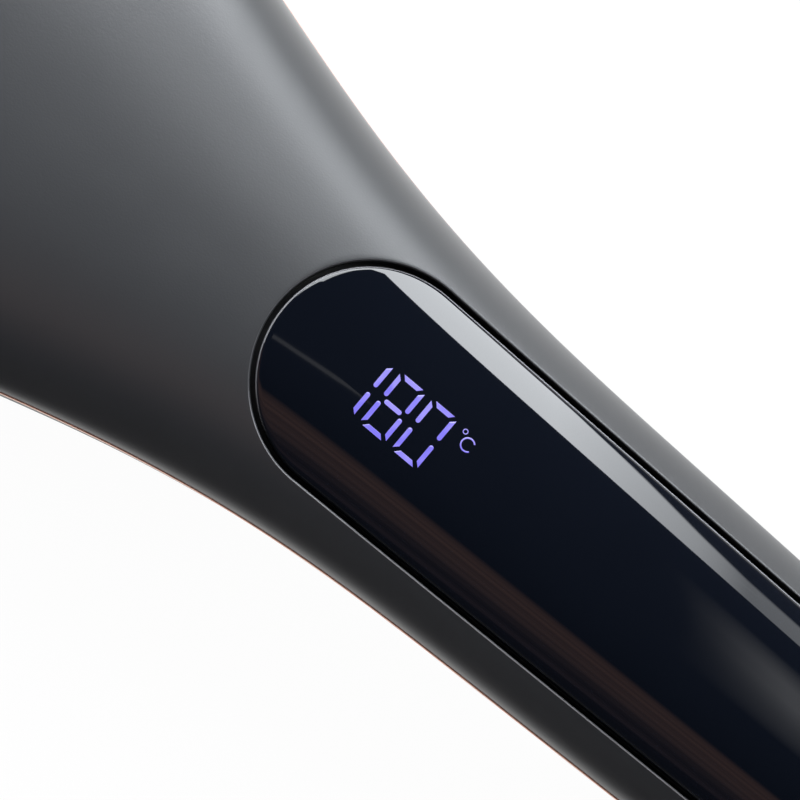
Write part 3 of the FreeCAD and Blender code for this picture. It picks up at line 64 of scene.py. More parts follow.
WHITE = (1.0, 1.0, 1.0)
BLACK = (0.0, 0.0, 0.0)
COOL = (0.93, 0.965, 1.0)
# Painted highlight: the pale grey that stands in for the light caught on the recess's lip.
PAINTED_LIP_HIGHLIGHT = (0.55, 0.55, 0.57)
# Painted shade: the black that stands in for the shade inside the panel's recess.
PAINTED_RECESS_SHADE = (0.004, 0.004, 0.004)
# Painted highlight: the pale grey that stands in for the bright line on the lens's rim.
PAINTED_RIM_HIGHLIGHT = (0.20, 0.20, 0.21)


# ---------------------------------------------------------------------------------------------
# Shader maths
# ---------------------------------------------------------------------------------------------
class Value:
    """A node's output that takes part in Python arithmetic."""

    def __init__(self, graph: "Graph", socket: bpy.types.NodeSocket) -> None:
        """Keeps the socket and the graph it belongs to."""
        self.graph = graph
        self.socket = socket

    def _math(self, operation: str, first: "Operand", second: "Operand") -> "Value":
        """One Math node of two operands."""
        settings = {"operation": operation}
        return self.graph.node("ShaderNodeMath", settings, {0: first, 1: second})

    def __add__(self, other: "Operand") -> "Value":
        """Sum."""
        return self._math("ADD", self, other)

    __radd__ = __add__

    def __sub__(self, other: "Operand") -> "Value":
        """Difference."""
        return self._math("SUBTRACT", self, other)

    def __rsub__(self, other: "Operand") -> "Value":
        """Reflected difference."""
        return self._math("SUBTRACT", other, self)

    def __mul__(self, other: "Operand") -> "Value":
        """Product."""
        return self._math("MULTIPLY", self, other)

    __rmul__ = __mul__

    def __gt__(self, other: "Operand") -> "Value":
        """1 where this is above the other, and 0 elsewhere."""
        return self._math("GREATER_THAN", self, other)

    def clamped(self) -> "Value":
        """This, held between 0 and 1."""
        settings = {"operation": "ADD", "use_clamp": True}
        return self.graph.node("ShaderNodeMath", settings, {0: self, 1: 0.0})


Operand = Union[Value, float]


class Graph:
    """A node tree that is written as expressions."""

    def __init__(self, tree: bpy.types.NodeTree) -> None:
        """Empties the tree and keeps it."""
        self.tree = tree
        tree.nodes.clear()

    def node(
        self,
        kind: str,
        settings: dict | None = None,
        inputs: dict | None = None,
        output: int | str = 0,
    ) -> Value:
        """Adds one node of any type.

        Args:
            kind: the node's type.
            settings: its properties; "stops" are a colour ramp's (place, colour) pairs.
            inputs: values or links, by socket name or index.
            output: the output that is wanted.

        Returns:
            The chosen output.
        """
        made = self.tree.nodes.new(kind)
        for name, value in (settings or {}).items():
            if name == "stops":
                self._set_stops(made.color_ramp, value)
            else:
                setattr(made, name, value)
        for key, value in (inputs or {}).items():
            if isinstance(value, Value):
                self.tree.links.new(value.socket, made.inputs[key])
            elif isinstance(value, tuple) and made.inputs[key].type == "RGBA":
                made.inputs[key].default_value = (*value, 1.0)
            else:
                made.inputs[key].default_value = value
        return Value(self, made.outputs[output]) if made.outputs else None

    @staticmethod
    def _set_stops(ramp: bpy.types.ColorRamp, stops: Sequence[tuple[float, Colour]]) -> None:
        """Gives a ramp its stops.

        Args:
            ramp: the colour ramp.
            stops: its (place, colour) pairs.
        """
        while len(ramp.elements) < len(stops):
            ramp.elements.new(1.0)
        while len(ramp.elements) > len(stops):
            ramp.elements.remove(ramp.elements[-1])
        for element, (place, colour) in zip(ramp.elements, stops):
            element.position = place
            element.color = (*colour, 1.0)

    def place(self) -> Value:
        """Object coordinates, in metres."""
        return self.node("ShaderNodeTexCoord", output="Object")

    def noise(self, per_metre: float, detail: float = 2.0, place: Value | None = None) -> Value:
        """Noise from 0 to 1, with so many features on a metre and so many octaves."""
        inputs = {"Vector": place or self.place(), "Scale": per_metre, "Detail": detail}
        return self.node("ShaderNodeTexNoise", None, inputs)

    def stretched(self, scale: Spot, place: Value | None = None) -> Value:
        """Coordinates, the object's by default, stretched by a factor along each axis."""
        inputs = {"Vector": place or self.place(), "Scale": scale}
        return self.node("ShaderNodeMapping", None, inputs)

    def axis(self, letter: str, place: Value | None = None) -> Value:
        """One coordinate, X, Y or Z, the object's by default."""
        return self.node("ShaderNodeSeparateXYZ", None, {0: place or self.place()}, letter)

    def mark(self, name: str) -> Value:
        """The piece's own attribute, from 0 to 1."""
        return self.node("ShaderNodeAttribute", {"attribute_name": name}, None, "Fac")

    def blend(self, share: Operand, low: Drive, high: Drive) -> Value:
        """A colour between two, by a share."""
        inputs = {"Factor": share, 6: low, 7: high}
        return self.node("ShaderNodeMix", {"data_type": "RGBA"}, inputs, 2)

    def ramp(self, factor: Value, stops: Sequence[tuple[float, Colour]]) -> Value:
        """A colour ramp."""
        return self.node("ShaderNodeValToRGB", {"stops": stops}, {"Fac": factor})

    def bump(self, height: Value, distance: float) -> Value:
        """A normal from a height that is distance metres deep."""
        inputs = {"Height": height, "Distance": distance, "Strength": 1.0}
        return self.node("ShaderNodeBump", None, inputs)

    def glow(self, colour: Drive, strength: float = 1.0) -> Value:
        """A shader that gives off light."""
        return self.node("ShaderNodeEmission", None, {"Color": colour, "Strength": strength})

    def over(self, share: Operand, low: Value, high: Value) -> Value:
        """One shader laid over another by a share."""
        return self.node("ShaderNodeMixShader", None, {0: share, 1: low, 2: high})


# ---------------------------------------------------------------------------------------------
# Finishes
# ---------------------------------------------------------------------------------------------
def dimmed(colour: Colour, factor: float) -> Colour:
    """A colour times a factor, at most 1."""
    return tuple(min(c * factor, 1.0) for c in colour)


@dataclass(frozen=True)
class Finish:
    """A procedural finish; each kind says what drives the shader's sockets."""

    name: str
    colour: Colour
    roughness: float

    def sockets(self, graph: Graph) -> dict[str, Drive]:
        """Values and links of the Principled shader, by socket name."""
        return {"Base Color": self.colour, "Roughness": self.roughness}

    def material(self) -> bpy.types.Material:
        """The finish's material, made once.

        Returns:
            The material, whose shader has the finish's sockets.
        """
        label = f"{self.name}_finish"
        known = bpy.data.materials.get(label)
        if known:
            return known
        material = bpy.data.materials.new(label)
        material.use_nodes = True
        graph = Graph(material.node_tree)
        shader = graph.node("ShaderNodeBsdfPrincipled", None, self.sockets(graph))
        graph.node("ShaderNodeOutputMaterial", None, {"Surface": shader})
        return material


@dataclass(frozen=True)
class Moulded(Finish):
    """Moulded plastic: a spark-eroded grain, faint mottling and rubbed, shinier patches."""

    grain: float = 4200.0
    depth: float = 0.00001
    mottle: float = 0.12
    wear: float = 0.06
    specular: float = 0.5
    # A marked piece gets a painted highlight on the recess's lip and painted shade in the recess.
    marked: bool = False

    def sockets(self, graph: Graph) -> dict[str, Drive]:
        """Colour and roughness drift over centimetres, the grain over tenths of a millimetre.

        A marked piece has a painted highlight on its lip and painted shade in its recess, told
        apart by its own attributes.

        Args:
            graph: the material's node graph.

        Returns:
            Values and links, by socket name.
        """
        cloud = graph.noise(45.0, 3.0)
        speck = graph.noise(self.grain, 3.0)
        dark, light = (dimmed(self.colour, 1 + side * self.mottle) for side in (-1, 1))
        colour = graph.blend((0.7 * cloud + 0.3 * speck).clamped(), dark, light)
        rough = self.roughness + self.wear * (graph.noise(120.0, 4.0) - 0.5)
        if self.marked:
            # Painted highlight: the lip's band is blended to pale grey.
            colour = graph.blend(graph.mark("lip"), colour, PAINTED_LIP_HIGHLIGHT)
            # Painted shade: the recess's wall and floor are blended to black.
            colour = graph.blend(graph.mark("recess"), colour, PAINTED_RECESS_SHADE)
        return {
            "Base Color": colour,
            "Roughness": rough.clamped(),
            "Specular IOR Level": self.specular,
            "Normal": graph.bump(speck, self.depth),
        }


@dataclass(frozen=True)
class Lacquered(Finish):
    """Deep gloss with a clear coat, faint waviness and fine wiping marks."""

    coat: float = 1.0
    ripple: float = 0.000004
    # A rougher rim that also carries a painted highlight.
    matt_rim_painted_highlight: bool = False

    def sockets(self, graph: Graph) -> dict[str, Drive]:
        """Hairline marks show in the roughness, a long ripple in the normal.

        A piece with a matt rim also has a painted highlight on it: the rim is rougher and its
        colour is blended to pale grey, told by its own attribute.

        Args:
            graph: the material's node graph.

        Returns:
            Values and links, by socket name.
        """
        marks = graph.noise(900.0, 4.0, graph.stretched((0.08, 1.0, 1.0)))
        smear = graph.noise(60.0, 2.0)
        rough = self.roughness + 0.05 * (marks > 0.66) * smear
        colour = graph.blend(smear, self.colour, dimmed(self.colour, 1.25))
        if self.matt_rim_painted_highlight:
            rough = rough + 0.3 * graph.mark("rim")
            # Painted highlight: the rim's colour is blended to pale grey.
            colour = graph.blend(graph.mark("rim"), colour, PAINTED_RIM_HIGHLIGHT)
        return {
            "Base Color": colour,
            "Roughness": rough,
            "Coat Weight": self.coat,
            "Coat Roughness": 0.02,
            "Normal": graph.bump(smear, self.ripple),
        }


@dataclass(frozen=True)
class Metal(Finish):
    """Metal with a drawn or turned grain, tarnish and fine pitting."""

    grain: Spot = (0.03, 1.0, 1.0)
    depth: float = 0.000004
    tarnish: float = 0.2
    metallic: float = 1.0
    drawn: float = 0.14

    def sockets(self, graph: Graph) -> dict[str, Drive]:
        """Streaks run along the short axis of the grain; tarnish lies in soft clouds.

        Args:
            graph: the material's node graph.

        Returns:
            Values and links, by socket name.
        """
        streak = graph.noise(6000.0, 2.0, graph.stretched(self.grain))
        cloud = graph.noise(90.0, 4.0)
        return {
            "Base Color": graph.blend(cloud, dimmed(self.colour, 1 - self.tarnish), self.colour),
            "Metallic": self.metallic,
            "Roughness": (self.roughness + self.drawn * (streak - 0.5) + 0.1 * cloud).clamped(),
            "Normal": graph.bump(streak, self.depth),
        }


@dataclass(frozen=True)
class Clear(Finish):
    """Tinted clear plastic with faint flow lines."""

    tint: float = 0.85

    def sockets(self, graph: Graph) -> dict[str, Drive]:
        """Light passes with the tint; flow lines only bend it a little.

        Args:
            graph: the material's node graph.

        Returns:
            Values and links, by socket name.
        """
        flow = graph.noise(70.0, 2.0, graph.stretched((0.3, 1.0, 1.0)))
        return {
            "Base Color": graph.blend(flow, self.colour, dimmed(self.colour, 0.85)),
            "Roughness": self.roughness + 0.04 * flow,
            "Transmission Weight": self.tint,
            "IOR": 1.49,
            "Normal": graph.bump(flow, 0.00001),
        }


@dataclass(frozen=True)
class Lit(Finish):
    """A lit figure behind glass: brighter where its lamps stand."""

    strength: float = 1.0
    lamp_pitch: float = 430.0

    def sockets(self, graph: Graph) -> dict[str, Drive]:
        """The glow drifts from lamp to lamp.

        Args:
            graph: the material's node graph.

        Returns:
            Values and links, by socket name.
        """
        lamps = graph.noise(self.lamp_pitch, 1.0)
        pale = tuple(min(c * 1.25 + 0.06, 1.0) for c in self.colour)
        ramp = graph.ramp(lamps, [(0.42, self.colour), (0.62, pale)])
        return {
            "Base Color": (0.01, 0.01, 0.015),
            "Roughness": self.roughness,
            "Emission Color": ramp,
            "Emission Strength": self.strength,
        }


@dataclass(frozen=True)
class Board(Finish):
    """Circuit board: solder mask over copper tracks, with tinned pads."""

    def sockets(self, graph: Graph) -> dict[str, Drive]:
        """Tracks are the edges of a fine checker of cells.

        Args:
            graph: the material's node graph.

        Returns:
            Values and links, by socket name.
        """
        inputs = {"Vector": graph.place(), "Scale": 420.0, "Mortar Size": 0.03,
                  "Color1": BLACK, "Color2": BLACK, "Mortar": WHITE}
        cells = graph.node("ShaderNodeTexBrick", {"offset": 0.5}, inputs, "Fac")
        return {
            "Base Color": graph.blend(cells, self.colour, dimmed(self.colour, 1.8)),
            "Roughness": (self.roughness + 0.1 * graph.noise(2500.0)).clamped(),
            "Normal": graph.bump(cells, 0.00003),
        }


@dataclass(frozen=True)
class Wound(Finish):
    """Enamelled wire laid in turns."""

    pitch: float = 0.0004

    def sockets(self, graph: Graph) -> dict[str, Drive]:
        """Turns are waves along X; the enamel is glossy between them.

        Args:
            graph: the material's node graph.

        Returns:
            Values and links, by socket name.
        """
        waves_per_scale = 20
        settings = {"bands_direction": "X", "wave_profile": "SIN"}
        inputs = {"Vector": graph.place(), "Scale": 1 / self.pitch / waves_per_scale,
                  "Distortion": 0.6}
        turns = graph.node("ShaderNodeTexWave", settings, inputs, "Fac")
        return {
            "Base Color": graph.blend(turns, dimmed(self.colour, 0.35), self.colour),
            "Roughness": self.roughness,
            "Metallic": 0.7,
            "Normal": graph.bump(turns, 0.0001),
        }


# marked=True paints a highlight on the recess's lip and shade in the recess.
CHARCOAL = Moulded("charcoal_satin", (0.028, 0.029, 0.031), 0.38, specular=0.6, marked=True)
SHELL_DARK = Moulded("grip_charcoal", (0.026, 0.027, 0.029), 0.40)
# The lens's rim is rougher and carries a painted highlight.
PANEL = Lacquered("panel_black", (0.0020, 0.0026, 0.0045), 0.03, coat=0.1, matt_rim_painted_highlight=True)
KEY_BLACK = Lacquered("key_black", (0.006, 0.006, 0.008), 0.10, coat=0.6)
ROSE = Metal("rose_gold", (0.90, 0.45, 0.30), 0.22, depth=0.00000003, tarnish=0.05,
             metallic=0.85, drawn=0.04)
TANK = Clear("tank_smoke", (0.30, 0.31, 0.34), 0.05)
TANK_DARK = Moulded("tank_dark", (0.020, 0.021, 0.024), 0.38)
SEAL = Moulded("seal_rubber", (0.030, 0.030, 0.032), 0.72, grain=1500.0)
HOSE = Moulded("hose_silicone", (0.62, 0.62, 0.60), 0.45, grain=900.0)
FRAME = Moulded("frame_black", (0.016, 0.016, 0.018), 0.40)
NYLON = Moulded("bristle_nylon", (0.022, 0.022, 0.024), 0.34, grain=2500.0)
CAPS = Moulded("cap_plastic", (0.040, 0.038, 0.040), 0.36, grain=2500.0)
PLATE = Metal("plate_rose", (0.72, 0.36, 0.25), 0.34, grain=(1.0, 0.04, 1.0))
STEEL = Metal("steel", (0.55, 0.55, 0.56), 0.28)
BRASS = Metal("contact_brass", (0.78, 0.60, 0.28), 0.26)
STEAM = Moulded("steam_plastic", (0.46, 0.43, 0.37), 0.48)
CERAMIC = Moulded("heater_ceramic", (0.78, 0.75, 0.69), 0.62, grain=3000.0)
MICA = Moulded("mica", (0.55, 0.45, 0.30), 0.30, grain=600.0, mottle=0.3)
BOARD = Board("board_green", (0.008, 0.055, 0.022), 0.32)
PART = Moulded("part_black", (0.012, 0.012, 0.013), 0.46)
PLUNGER = Moulded("plunger_white", (0.68, 0.68, 0.66), 0.40)
DISPLAY = Moulded("display_face", (0.020, 0.020, 0.026), 0.32)
COPPER = Wound("winding_copper", (0.62, 0.25, 0.10), 0.28)
PUMP = Moulded("pump_body", (0.07, 0.075, 0.085), 0.42)
LEADS = Moulded("lead_red", (0.42, 0.02, 0.018), 0.46, grain=1200.0)
SLEEVE = Moulded("contact_plastic", (0.09, 0.085, 0.08), 0.5)
FIGURES = Lit("lit_figures", (0.235, 0.200, 0.93), 0.18)
PRINT = Lit("lit_symbols", (0.42, 0.43, 0.50), 0.25, strength=0.6)

NODE_FINISHES: dict[str, Finish] = {
    "housing_screws": STEEL, "lens_gasket": SEAL, "switch_bodies": PART,
    "control_board": BOARD, "display_module": DISPLAY, "board_chips": PART,
    "power_board": BOARD, "filter_capacitor": PART, "transformer_core": STEEL,
    "transformer_winding": COPPER, "triac_heatsink": STEEL, "board_screws": STEEL,
    "water_pump": PUMP, "inlet_tube": HOSE, "outlet_tube": HOSE, "bristle_frame": FRAME,
    "heating_plate": PLATE, "manifold_gasket": SEAL, "steam_manifold": STEAM,
    "heater_elements": CERAMIC, "heater_clamps": STEEL, "clamp_screws": STEEL,
    "thermal_cutoff": PART, "thermistor": CERAMIC, "heat_shield": MICA, "tank_dock": SLEEVE,
    "dock_seal": SEAL, "swivel_sleeve": SLEEVE, "contact_springs": BRASS,
    "contact_block": SLEEVE, "heater_leads": LEADS, "mains_leads": LEADS,
    "steam_plunger": PLUNGER, "plus_plunger": PLUNGER, "minus_plunger": PLUNGER,
    "power_plunger": PLUNGER, "tank_base": TANK_DARK, "tank_outlet": TANK_DARK,
    "slip_rings": BRASS,
}


# ---------------------------------------------------------------------------------------------
# Meshes from grids
# ---------------------------------------------------------------------------------------------
class Sheets:
    """Collects grid surfaces and makes one closed mesh of them."""

    def __init__(self) -> None:
        """Starts empty."""
        self._points: list[np.ndarray] = []
        self._faces: list[np.ndarray] = []
        self._count = 0

    def grid(self, points: np.ndarray, wrap_rows: bool = False, wrap_columns: bool = False) -> None:
        """Adds a surface given as rows by columns of points.

        Args:
            points: an array of shape (rows, columns, 3).
            wrap_rows: the last row joins the first.
            wrap_columns: the last column joins the first.
        """
        rows, columns = points.shape[:2]
        row = np.arange(rows if wrap_rows else rows - 1)[:, None]
        column = np.arange(columns if wrap_columns else columns - 1)[None, :]
        down, right = (row + 1) % rows, (column + 1) % columns
        corners = [row * columns + column, row * columns + right,
                   down * columns + right, down * columns + column]
        quads = np.stack([np.broadcast_to(c, (row.size, column.size)) for c in corners], -1)
        self._faces.append(quads.reshape(-1, 4) + self._count)
        self._points.append(points.reshape(-1, 3))
        self._count += rows * columns

    def mesh(self, name: str) -> bpy.types.Mesh:
        """The surfaces as one mesh, doubles and empty faces gone, the rest facing outwards.

        Args:
            name: the mesh's name.

        Returns:
            The new mesh.
        """
        mesh = bpy.data.meshes.new(name)
        points, faces = np.concatenate(self._points), np.concatenate(self._faces)
        mesh.from_pydata(points.tolist(), [], faces.tolist())
        shape = bmesh.new()
        shape.from_mesh(mesh)
        bmesh.ops.remove_doubles(shape, verts=shape.verts, dist=MERGE)
        bmesh.ops.dissolve_degenerate(shape, edges=shape.edges, dist=MERGE)
        bmesh.ops.recalc_face_normals(shape, faces=shape.faces)
        shape.to_mesh(mesh)
        shape.free()
        mesh.validate()
        return mesh

    def piece(self, name: str, finish: Finish, sharp: float = SHARP_DEGREES) -> bpy.types.Object:
        """The surfaces as a shaded object.

        Args:
            name: the object's name.
            finish: its finish.
            sharp: the turn, in degrees, from which an edge stays crisp.

        Returns:
            The object, in the scene.
        """
        mesh = self.mesh(name)
        mesh.materials.append(finish.material())
        mesh.shade_smooth()
        mesh.set_sharp_from_angle(angle=math.radians(sharp))
        return link(bpy.data.objects.new(name, mesh))


def solid(name: str, finish: Finish, grid: np.ndarray, **wraps: bool) -> bpy.types.Object:
    """One grid as a shaded object.

    Args:
        name: the object's name.
        finish: its finish.
        grid: its surface.
        wraps: which ways the grid closes, as for Sheets.grid.

    Returns:
        The object, in the scene.
    """
    sheets = Sheets()
    sheets.grid(grid, **wraps)
    return sheets.piece(name, finish)


def link(thing: bpy.types.Object) -> bpy.types.Object:
    """Puts an object in the scene."""
    bpy.context.scene.collection.objects.link(thing)
    return thing


def points_of(mesh: bpy.types.Mesh) -> np.ndarray:
    """A mesh's points.

    Args:
        mesh: the mesh.

    Returns:
        An array of shape (points, 3).
    """
    flat = np.empty(len(mesh.vertices) * 3, np.float32)
    mesh.vertices.foreach_get("co", flat)
    return flat.reshape(-1, 3)


def write_mark(mesh: bpy.types.Mesh, name: str, values: np.ndarray) -> None:
    """Keeps one value a point as a named attribute, for the finish to read."""
    layer = mesh.attributes.new(name, "FLOAT", "POINT")
    layer.data.foreach_set("value", values.astype(np.float32))


def apply_modifiers(piece: bpy.types.Object) -> bpy.types.Mesh:
    """Makes what a piece's modifiers show its own mesh.

    Args:
        piece: the object.

    Returns:
        The piece's new mesh.
    """
    graph = bpy.context.evaluated_depsgraph_get()
    mesh = bpy.data.meshes.new_from_object(piece.evaluated_get(graph))
    piece.modifiers.clear()
    piece.data = mesh
    return mesh


def thicken(piece: bpy.types.Object, thickness: float) -> None:
    """Gives a sheet a wall below it.

    Args:
        piece: the sheet's object.
        thickness: the wall's thickness.
    """
    wall = piece.modifiers.new("wall", "SOLIDIFY")
    wall.thickness, wall.offset = thickness, -1.0
    apply_modifiers(piece)


def drill(piece: bpy.types.Object, finish: Finish, *grids: np.ndarray) -> None:
    """Cuts turned solids out of a piece.

    Args:
        piece: what is cut.
        finish: the finish of the cut faces.
        grids: the cutters' surfaces, from lathe.
    """
    cutters = Sheets()
    for grid in grids:
        cutters.grid(grid, wrap_columns=True)
    cutter = cutters.piece("cutter", finish)
    cut = piece.modifiers.new("cut", "BOOLEAN")
    cut.operation, cut.solver, cut.object = "DIFFERENCE", "EXACT", cutter
    apply_modifiers(piece).set_sharp_from_angle(angle=math.radians(SHARP_DEGREES))
    bpy.data.objects.remove(cutter)


def rod(start: float, end: float, radius: float) -> Profile:
    """The profile of a round rod."""
    return [(start, 0), (start, radius), (end, radius), (end, 0)]


def sweep(start: float, end: float, count: int) -> np.ndarray:
    """Even angles from start to end degrees, in radians."""
    return np.radians(np.linspace(start, end, count))


def lathe(profile: Profile, centre: Sequence[float], along: str = "Z",
          turns: int = 96) -> np.ndarray:
    """A profile of (along, radius) turned about an axis through centre.

    Args:
        profile: points of a closed outline, or of an open one that ends on the axis.
        centre: where the profile's zero stands.
        along: the axis, X or Z.
        turns: points round the axis.

    Returns:
        A grid of shape (profile points, turns, 3), to be wrapped by columns.
    """
    run = np.array(profile, float)
    angle = np.linspace(0, 2 * np.pi, turns, endpoint=False)
    height = np.repeat(run[:, :1], turns, 1)
    across, up = run[:, 1:] * np.cos(angle), run[:, 1:] * np.sin(angle)
    order = (height, across, up) if along == "X" else (across, up, height)
    return np.stack(order, -1) + np.array(centre, float)


def rounded(profile: Profile, radius: float, steps: int = 4, closed: bool = False) -> Profile:
    """A profile with each corner replaced by a short curve.

    A corner becomes a quadratic arc between points at radius along its two sides.

    Args:
        profile: the corners.
        radius: how far along each side the curve starts, at most 0.45 of the side.
        steps: spans of each curve.
        closed: the last corner joins the first.

    Returns:
        The finer profile.
    """
    points = [np.array(p, float) for p in profile]
    count = len(points)
    run: list[tuple[float, float]] = []
    for i, corner in enumerate(points):
        if not closed and i in (0, count - 1):
            run.append(tuple(corner))
            continue
        sides = []
        for other in (points[i - 1], points[(i + 1) % count]):
            length = np.linalg.norm(other - corner)
            share = min(radius / length, 0.45) if length > 0 else 0
            sides.append(corner + (other - corner) * share)
        for t in np.linspace(0, 1, steps + 1):
            run.append(tuple((1 - t) ** 2 * sides[0] + 2 * t * (1 - t) * corner + t * t * sides[1]))
    return run


def mirrored(half: np.ndarray) -> np.ndarray:
    """A closed loop from its +Y half, whose first and last points lie on y = 0."""
    other = half[-2:0:-1] * np.array([1.0, -1.0])
    return np.concatenate([half, other])


def raised(plan: np.ndarray, height: np.ndarray | float) -> np.ndarray:
    """Points from plan points and heights."""
    tall = np.broadcast_to(np.asarray(height, float), plan.shape[:-1])
    return np.concatenate([plan, tall[..., None]], -1)


def between(start: np.ndarray, end: np.ndarray, t: float, power: np.ndarray) -> np.ndarray:
    """Plan points start + (end - start) (1 - (1 - t)^e), each with its own exponent."""
    return start + (end - start) * (1 - (1 - t) ** power)[:, None]


def exponents(outer: np.ndarray, wall_x: float, middle: float) -> np.ndarray:
    """The exponents for between: 2.2, but less on the outline's straight wall.

    There it is middle + (2.2 - middle) s^4, with s the share of the wall's half width.

    Args:
        outer: plan points of the outline.
        wall_x: X of the wall.
        middle: the exponent at the wall's middle.

    Returns:
        One exponent for each point.
    """
    usual = 2.2
    at_wall = np.isclose(outer[:, 0], wall_x)
    share = np.abs(outer[:, 1]) / np.abs(outer[at_wall, 1]).max()
    return np.where(at_wall, middle + (usual - middle) * share ** 4, usual)


def middle_of(node: str) -> Vector:
    """The middle of a CAD node's box."""
    low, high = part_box(node)
    return (Vector(low) + Vector(high)) / 2


def ride(piece: bpy.types.Object, body: str, slot: str, *nodes: str) -> bpy.types.Object:
    """Puts a piece on its body, and hides the CAD nodes that it stands for.

    Args:
        piece: the object.
        body: the body that it rides on.
        slot: not used.
        nodes: the CAD nodes that it stands for.

    Returns:
        The piece.
    """
    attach(piece, body)
    if nodes:
        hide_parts(*nodes)
    LOG.info("%s: %d faces, rides on %s", piece.name, len(piece.data.polygons), body)
    return piece


# ---------------------------------------------------------------------------------------------
# The casing's form
# ---------------------------------------------------------------------------------------------
@dataclass(frozen=True)
class Casing:
    """The brush's outer form, from the same dimensions as the CAD model.

    Stations run along X from the middle of the display, towards the tail. Sections are half
    superellipses, |y / width|^n + |z / height|^n = 1, on each side of the parting band.
    """

    display_x: float
    parting: float
    band_bottom: float
    head_reach: float = 172.0 * MM
    handle_reach: float = 132.0 * MM
    head_half_width: float = 34.0 * MM
    tip_round: float = 34.0 * MM
    neck_half_width: float = 18.27 * MM
    handle_taper: float = 0.0328
    flare_start: float = 26.0 * MM
    flare_length: float = 100.0 * MM
    flare_power: float = 1.52
    tail_round: float = 6.0 * MM
    back_height: float = 14.1 * MM
    front_depth: float = 14.0 * MM
    back_fullness: float = 2.2
    grip_fullness: float = 2.3
    head_fullness: float = 6.0
    wall: float = 2.0 * MM
    sleeve_radius: float = 5.4 * MM

    @property
    def tip_start(self) -> float:
        """Station where the head starts to close."""
        return self.tip_round - self.head_reach

    @property
    def tail_start(self) -> float:
        """Station where the tail's rounded edge starts."""
        return self.handle_reach - self.tail_round

    @property
    def crown(self) -> float:
        """Height of the back's middle line."""
        return self.parting + self.back_height

    @property
    def axis_z(self) -> float:
        """Height of the cord's axis."""
        return (self.band_bottom + self.parting) / 2

    @property
    def tail(self) -> Spot:
        """Where the cord's axis leaves the casing."""
        return self.display_x + self.handle_reach, 0.0, self.axis_z

    def sleeve_hole(self) -> np.ndarray:
        """The cutter for the swivel's hole."""
        room = 4 * self.wall
        return lathe(rod(-room, room, self.sleeve_radius), self.tail, "X")

    def half_width(self, station: np.ndarray) -> np.ndarray:
        """Half the width: a tapered grip that opens to the head by a squared sine.

        Args:
            station: distances from the display along X.

        Returns:
            Half widths.
        """
        grip = self.neck_half_width - self.handle_taper * station
        share = np.clip((self.flare_start - station) / self.flare_length, 0, 1)
        opening = np.sin(np.pi / 2 * share ** self.flare_power) ** 2
        return grip + (self.head_half_width - grip) * opening

    def section(self, station: np.ndarray, inset: float = 0.0) -> tuple[np.ndarray, ...]:
        """Width, height share and height loss of the section at a station.

        The tip closes as a quarter ellipse, whose angle's sine grows with the station past the
        tip's start; the tail's edge is a quarter circle that takes height and width alike.

        Args:
            station: distances from the display.
            inset: how far inside the outer form.

        Returns:
            Half width, share of the height, and height lost, as arrays.
        """
        station = np.asarray(station, float)
        sine = np.clip((self.tip_start - station) / (self.tip_round - inset), 0, 1)
        share = np.sqrt(np.maximum(1 - sine ** 2, 0))
        radius = self.tail_round - inset
        edge = np.clip((station - self.tail_start) / radius, 0, 1)
        loss = radius * (1 - np.sqrt(np.maximum(1 - edge ** 2, 0)))
        open_width = self.half_width(np.maximum(station, self.tip_start))
        return (open_width - inset) * share - loss, share, loss

    def back(self, plan: np.ndarray, inset: float = 0.0) -> np.ndarray:
        """Height of the back's form over plan points.

        Args:
            plan: plan points, of shape (..., 2).
            inset: how far inside the outer form.

        Returns:
            Heights.
        """
        width, share, loss = self.section(plan[..., 0] - self.display_x, inset)
        height = (self.back_height - inset) * share - loss
        across = np.clip(np.abs(plan[..., 1]) / np.maximum(width, 1e-9), 0, 1)
        n = self.back_fullness
        return self.parting + height * (1 - across ** n) ** (1 / n)

    def cover(self, plan: np.ndarray, inset: float = 0.0, sink: float = 0.0) -> np.ndarray:
        """Points of the back's form over plan points, sunk by a depth."""
        return raised(plan, self.back(plan, inset) - sink)

    def fullness(self, station: np.ndarray) -> np.ndarray:
        """The underside's exponent: soft at the grip, square at the head.

        Args:
            station: distances from the display along X.

        Returns:
            Exponents, which grow evenly with the half width.
        """
        spread = self.head_half_width - self.neck_half_width
        opening = np.clip((self.half_width(station) - self.neck_half_width) / spread, 0, 1)
        return self.grip_fullness + (self.head_fullness - self.grip_fullness) * opening

    def side(self, stations: np.ndarray, inset: float = 0.0) -> np.ndarray:
        """Plan points of the outline's +Y side at stations."""
        return np.stack([stations + self.display_x, self.section(stations, inset)[0]], -1)

    def front(self, plan: np.ndarray) -> np.ndarray:
        """Height of the grip's underside over plan points.

        Args:
            plan: plan points, of shape (..., 2).

        Returns:
            Heights.
        """
        station = plan[..., 0] - self.display_x
        width, _, loss = self.section(station)
        across = np.clip(np.abs(plan[..., 1]) / width, 0, 1)
        n = self.fullness(station)
        return self.band_bottom - (self.front_depth - loss) * (1 - across ** n) ** (1 / n)

    def tip_stations(self, count: int, inset: float = 0.0) -> np.ndarray:
        """Stations of the tip's arc, from its end to its start, by even angles."""
        return self.tip_start - (self.tip_round - inset) * np.sin(sweep(90, 0, count))

    def tail_stations(self, count: int, inset: float = 0.0) -> np.ndarray:
        """Stations of the tail's rounded edge, by even angles."""
        return self.tail_start + (self.tail_round - inset) * np.sin(sweep(0, 90, count))

    def end_line(self, station: float, inset: float, count: int) -> np.ndarray:
        """Plan points across an end face, from the middle outwards.

        They lie at y = width (1 - (1 - t)^2), so closer at the side.

        Args:
            station: the face's distance from the display.
            inset: how far inside the outer form.
            count: how many points.

        Returns:
            Plan points, of shape (count, 2).
        """
        width = float(self.section(station, inset)[0])
        y = width * (1 - (1 - np.linspace(0, 1, count)) ** 2)
        return np.stack([np.full(count, station + self.display_x), y], -1)


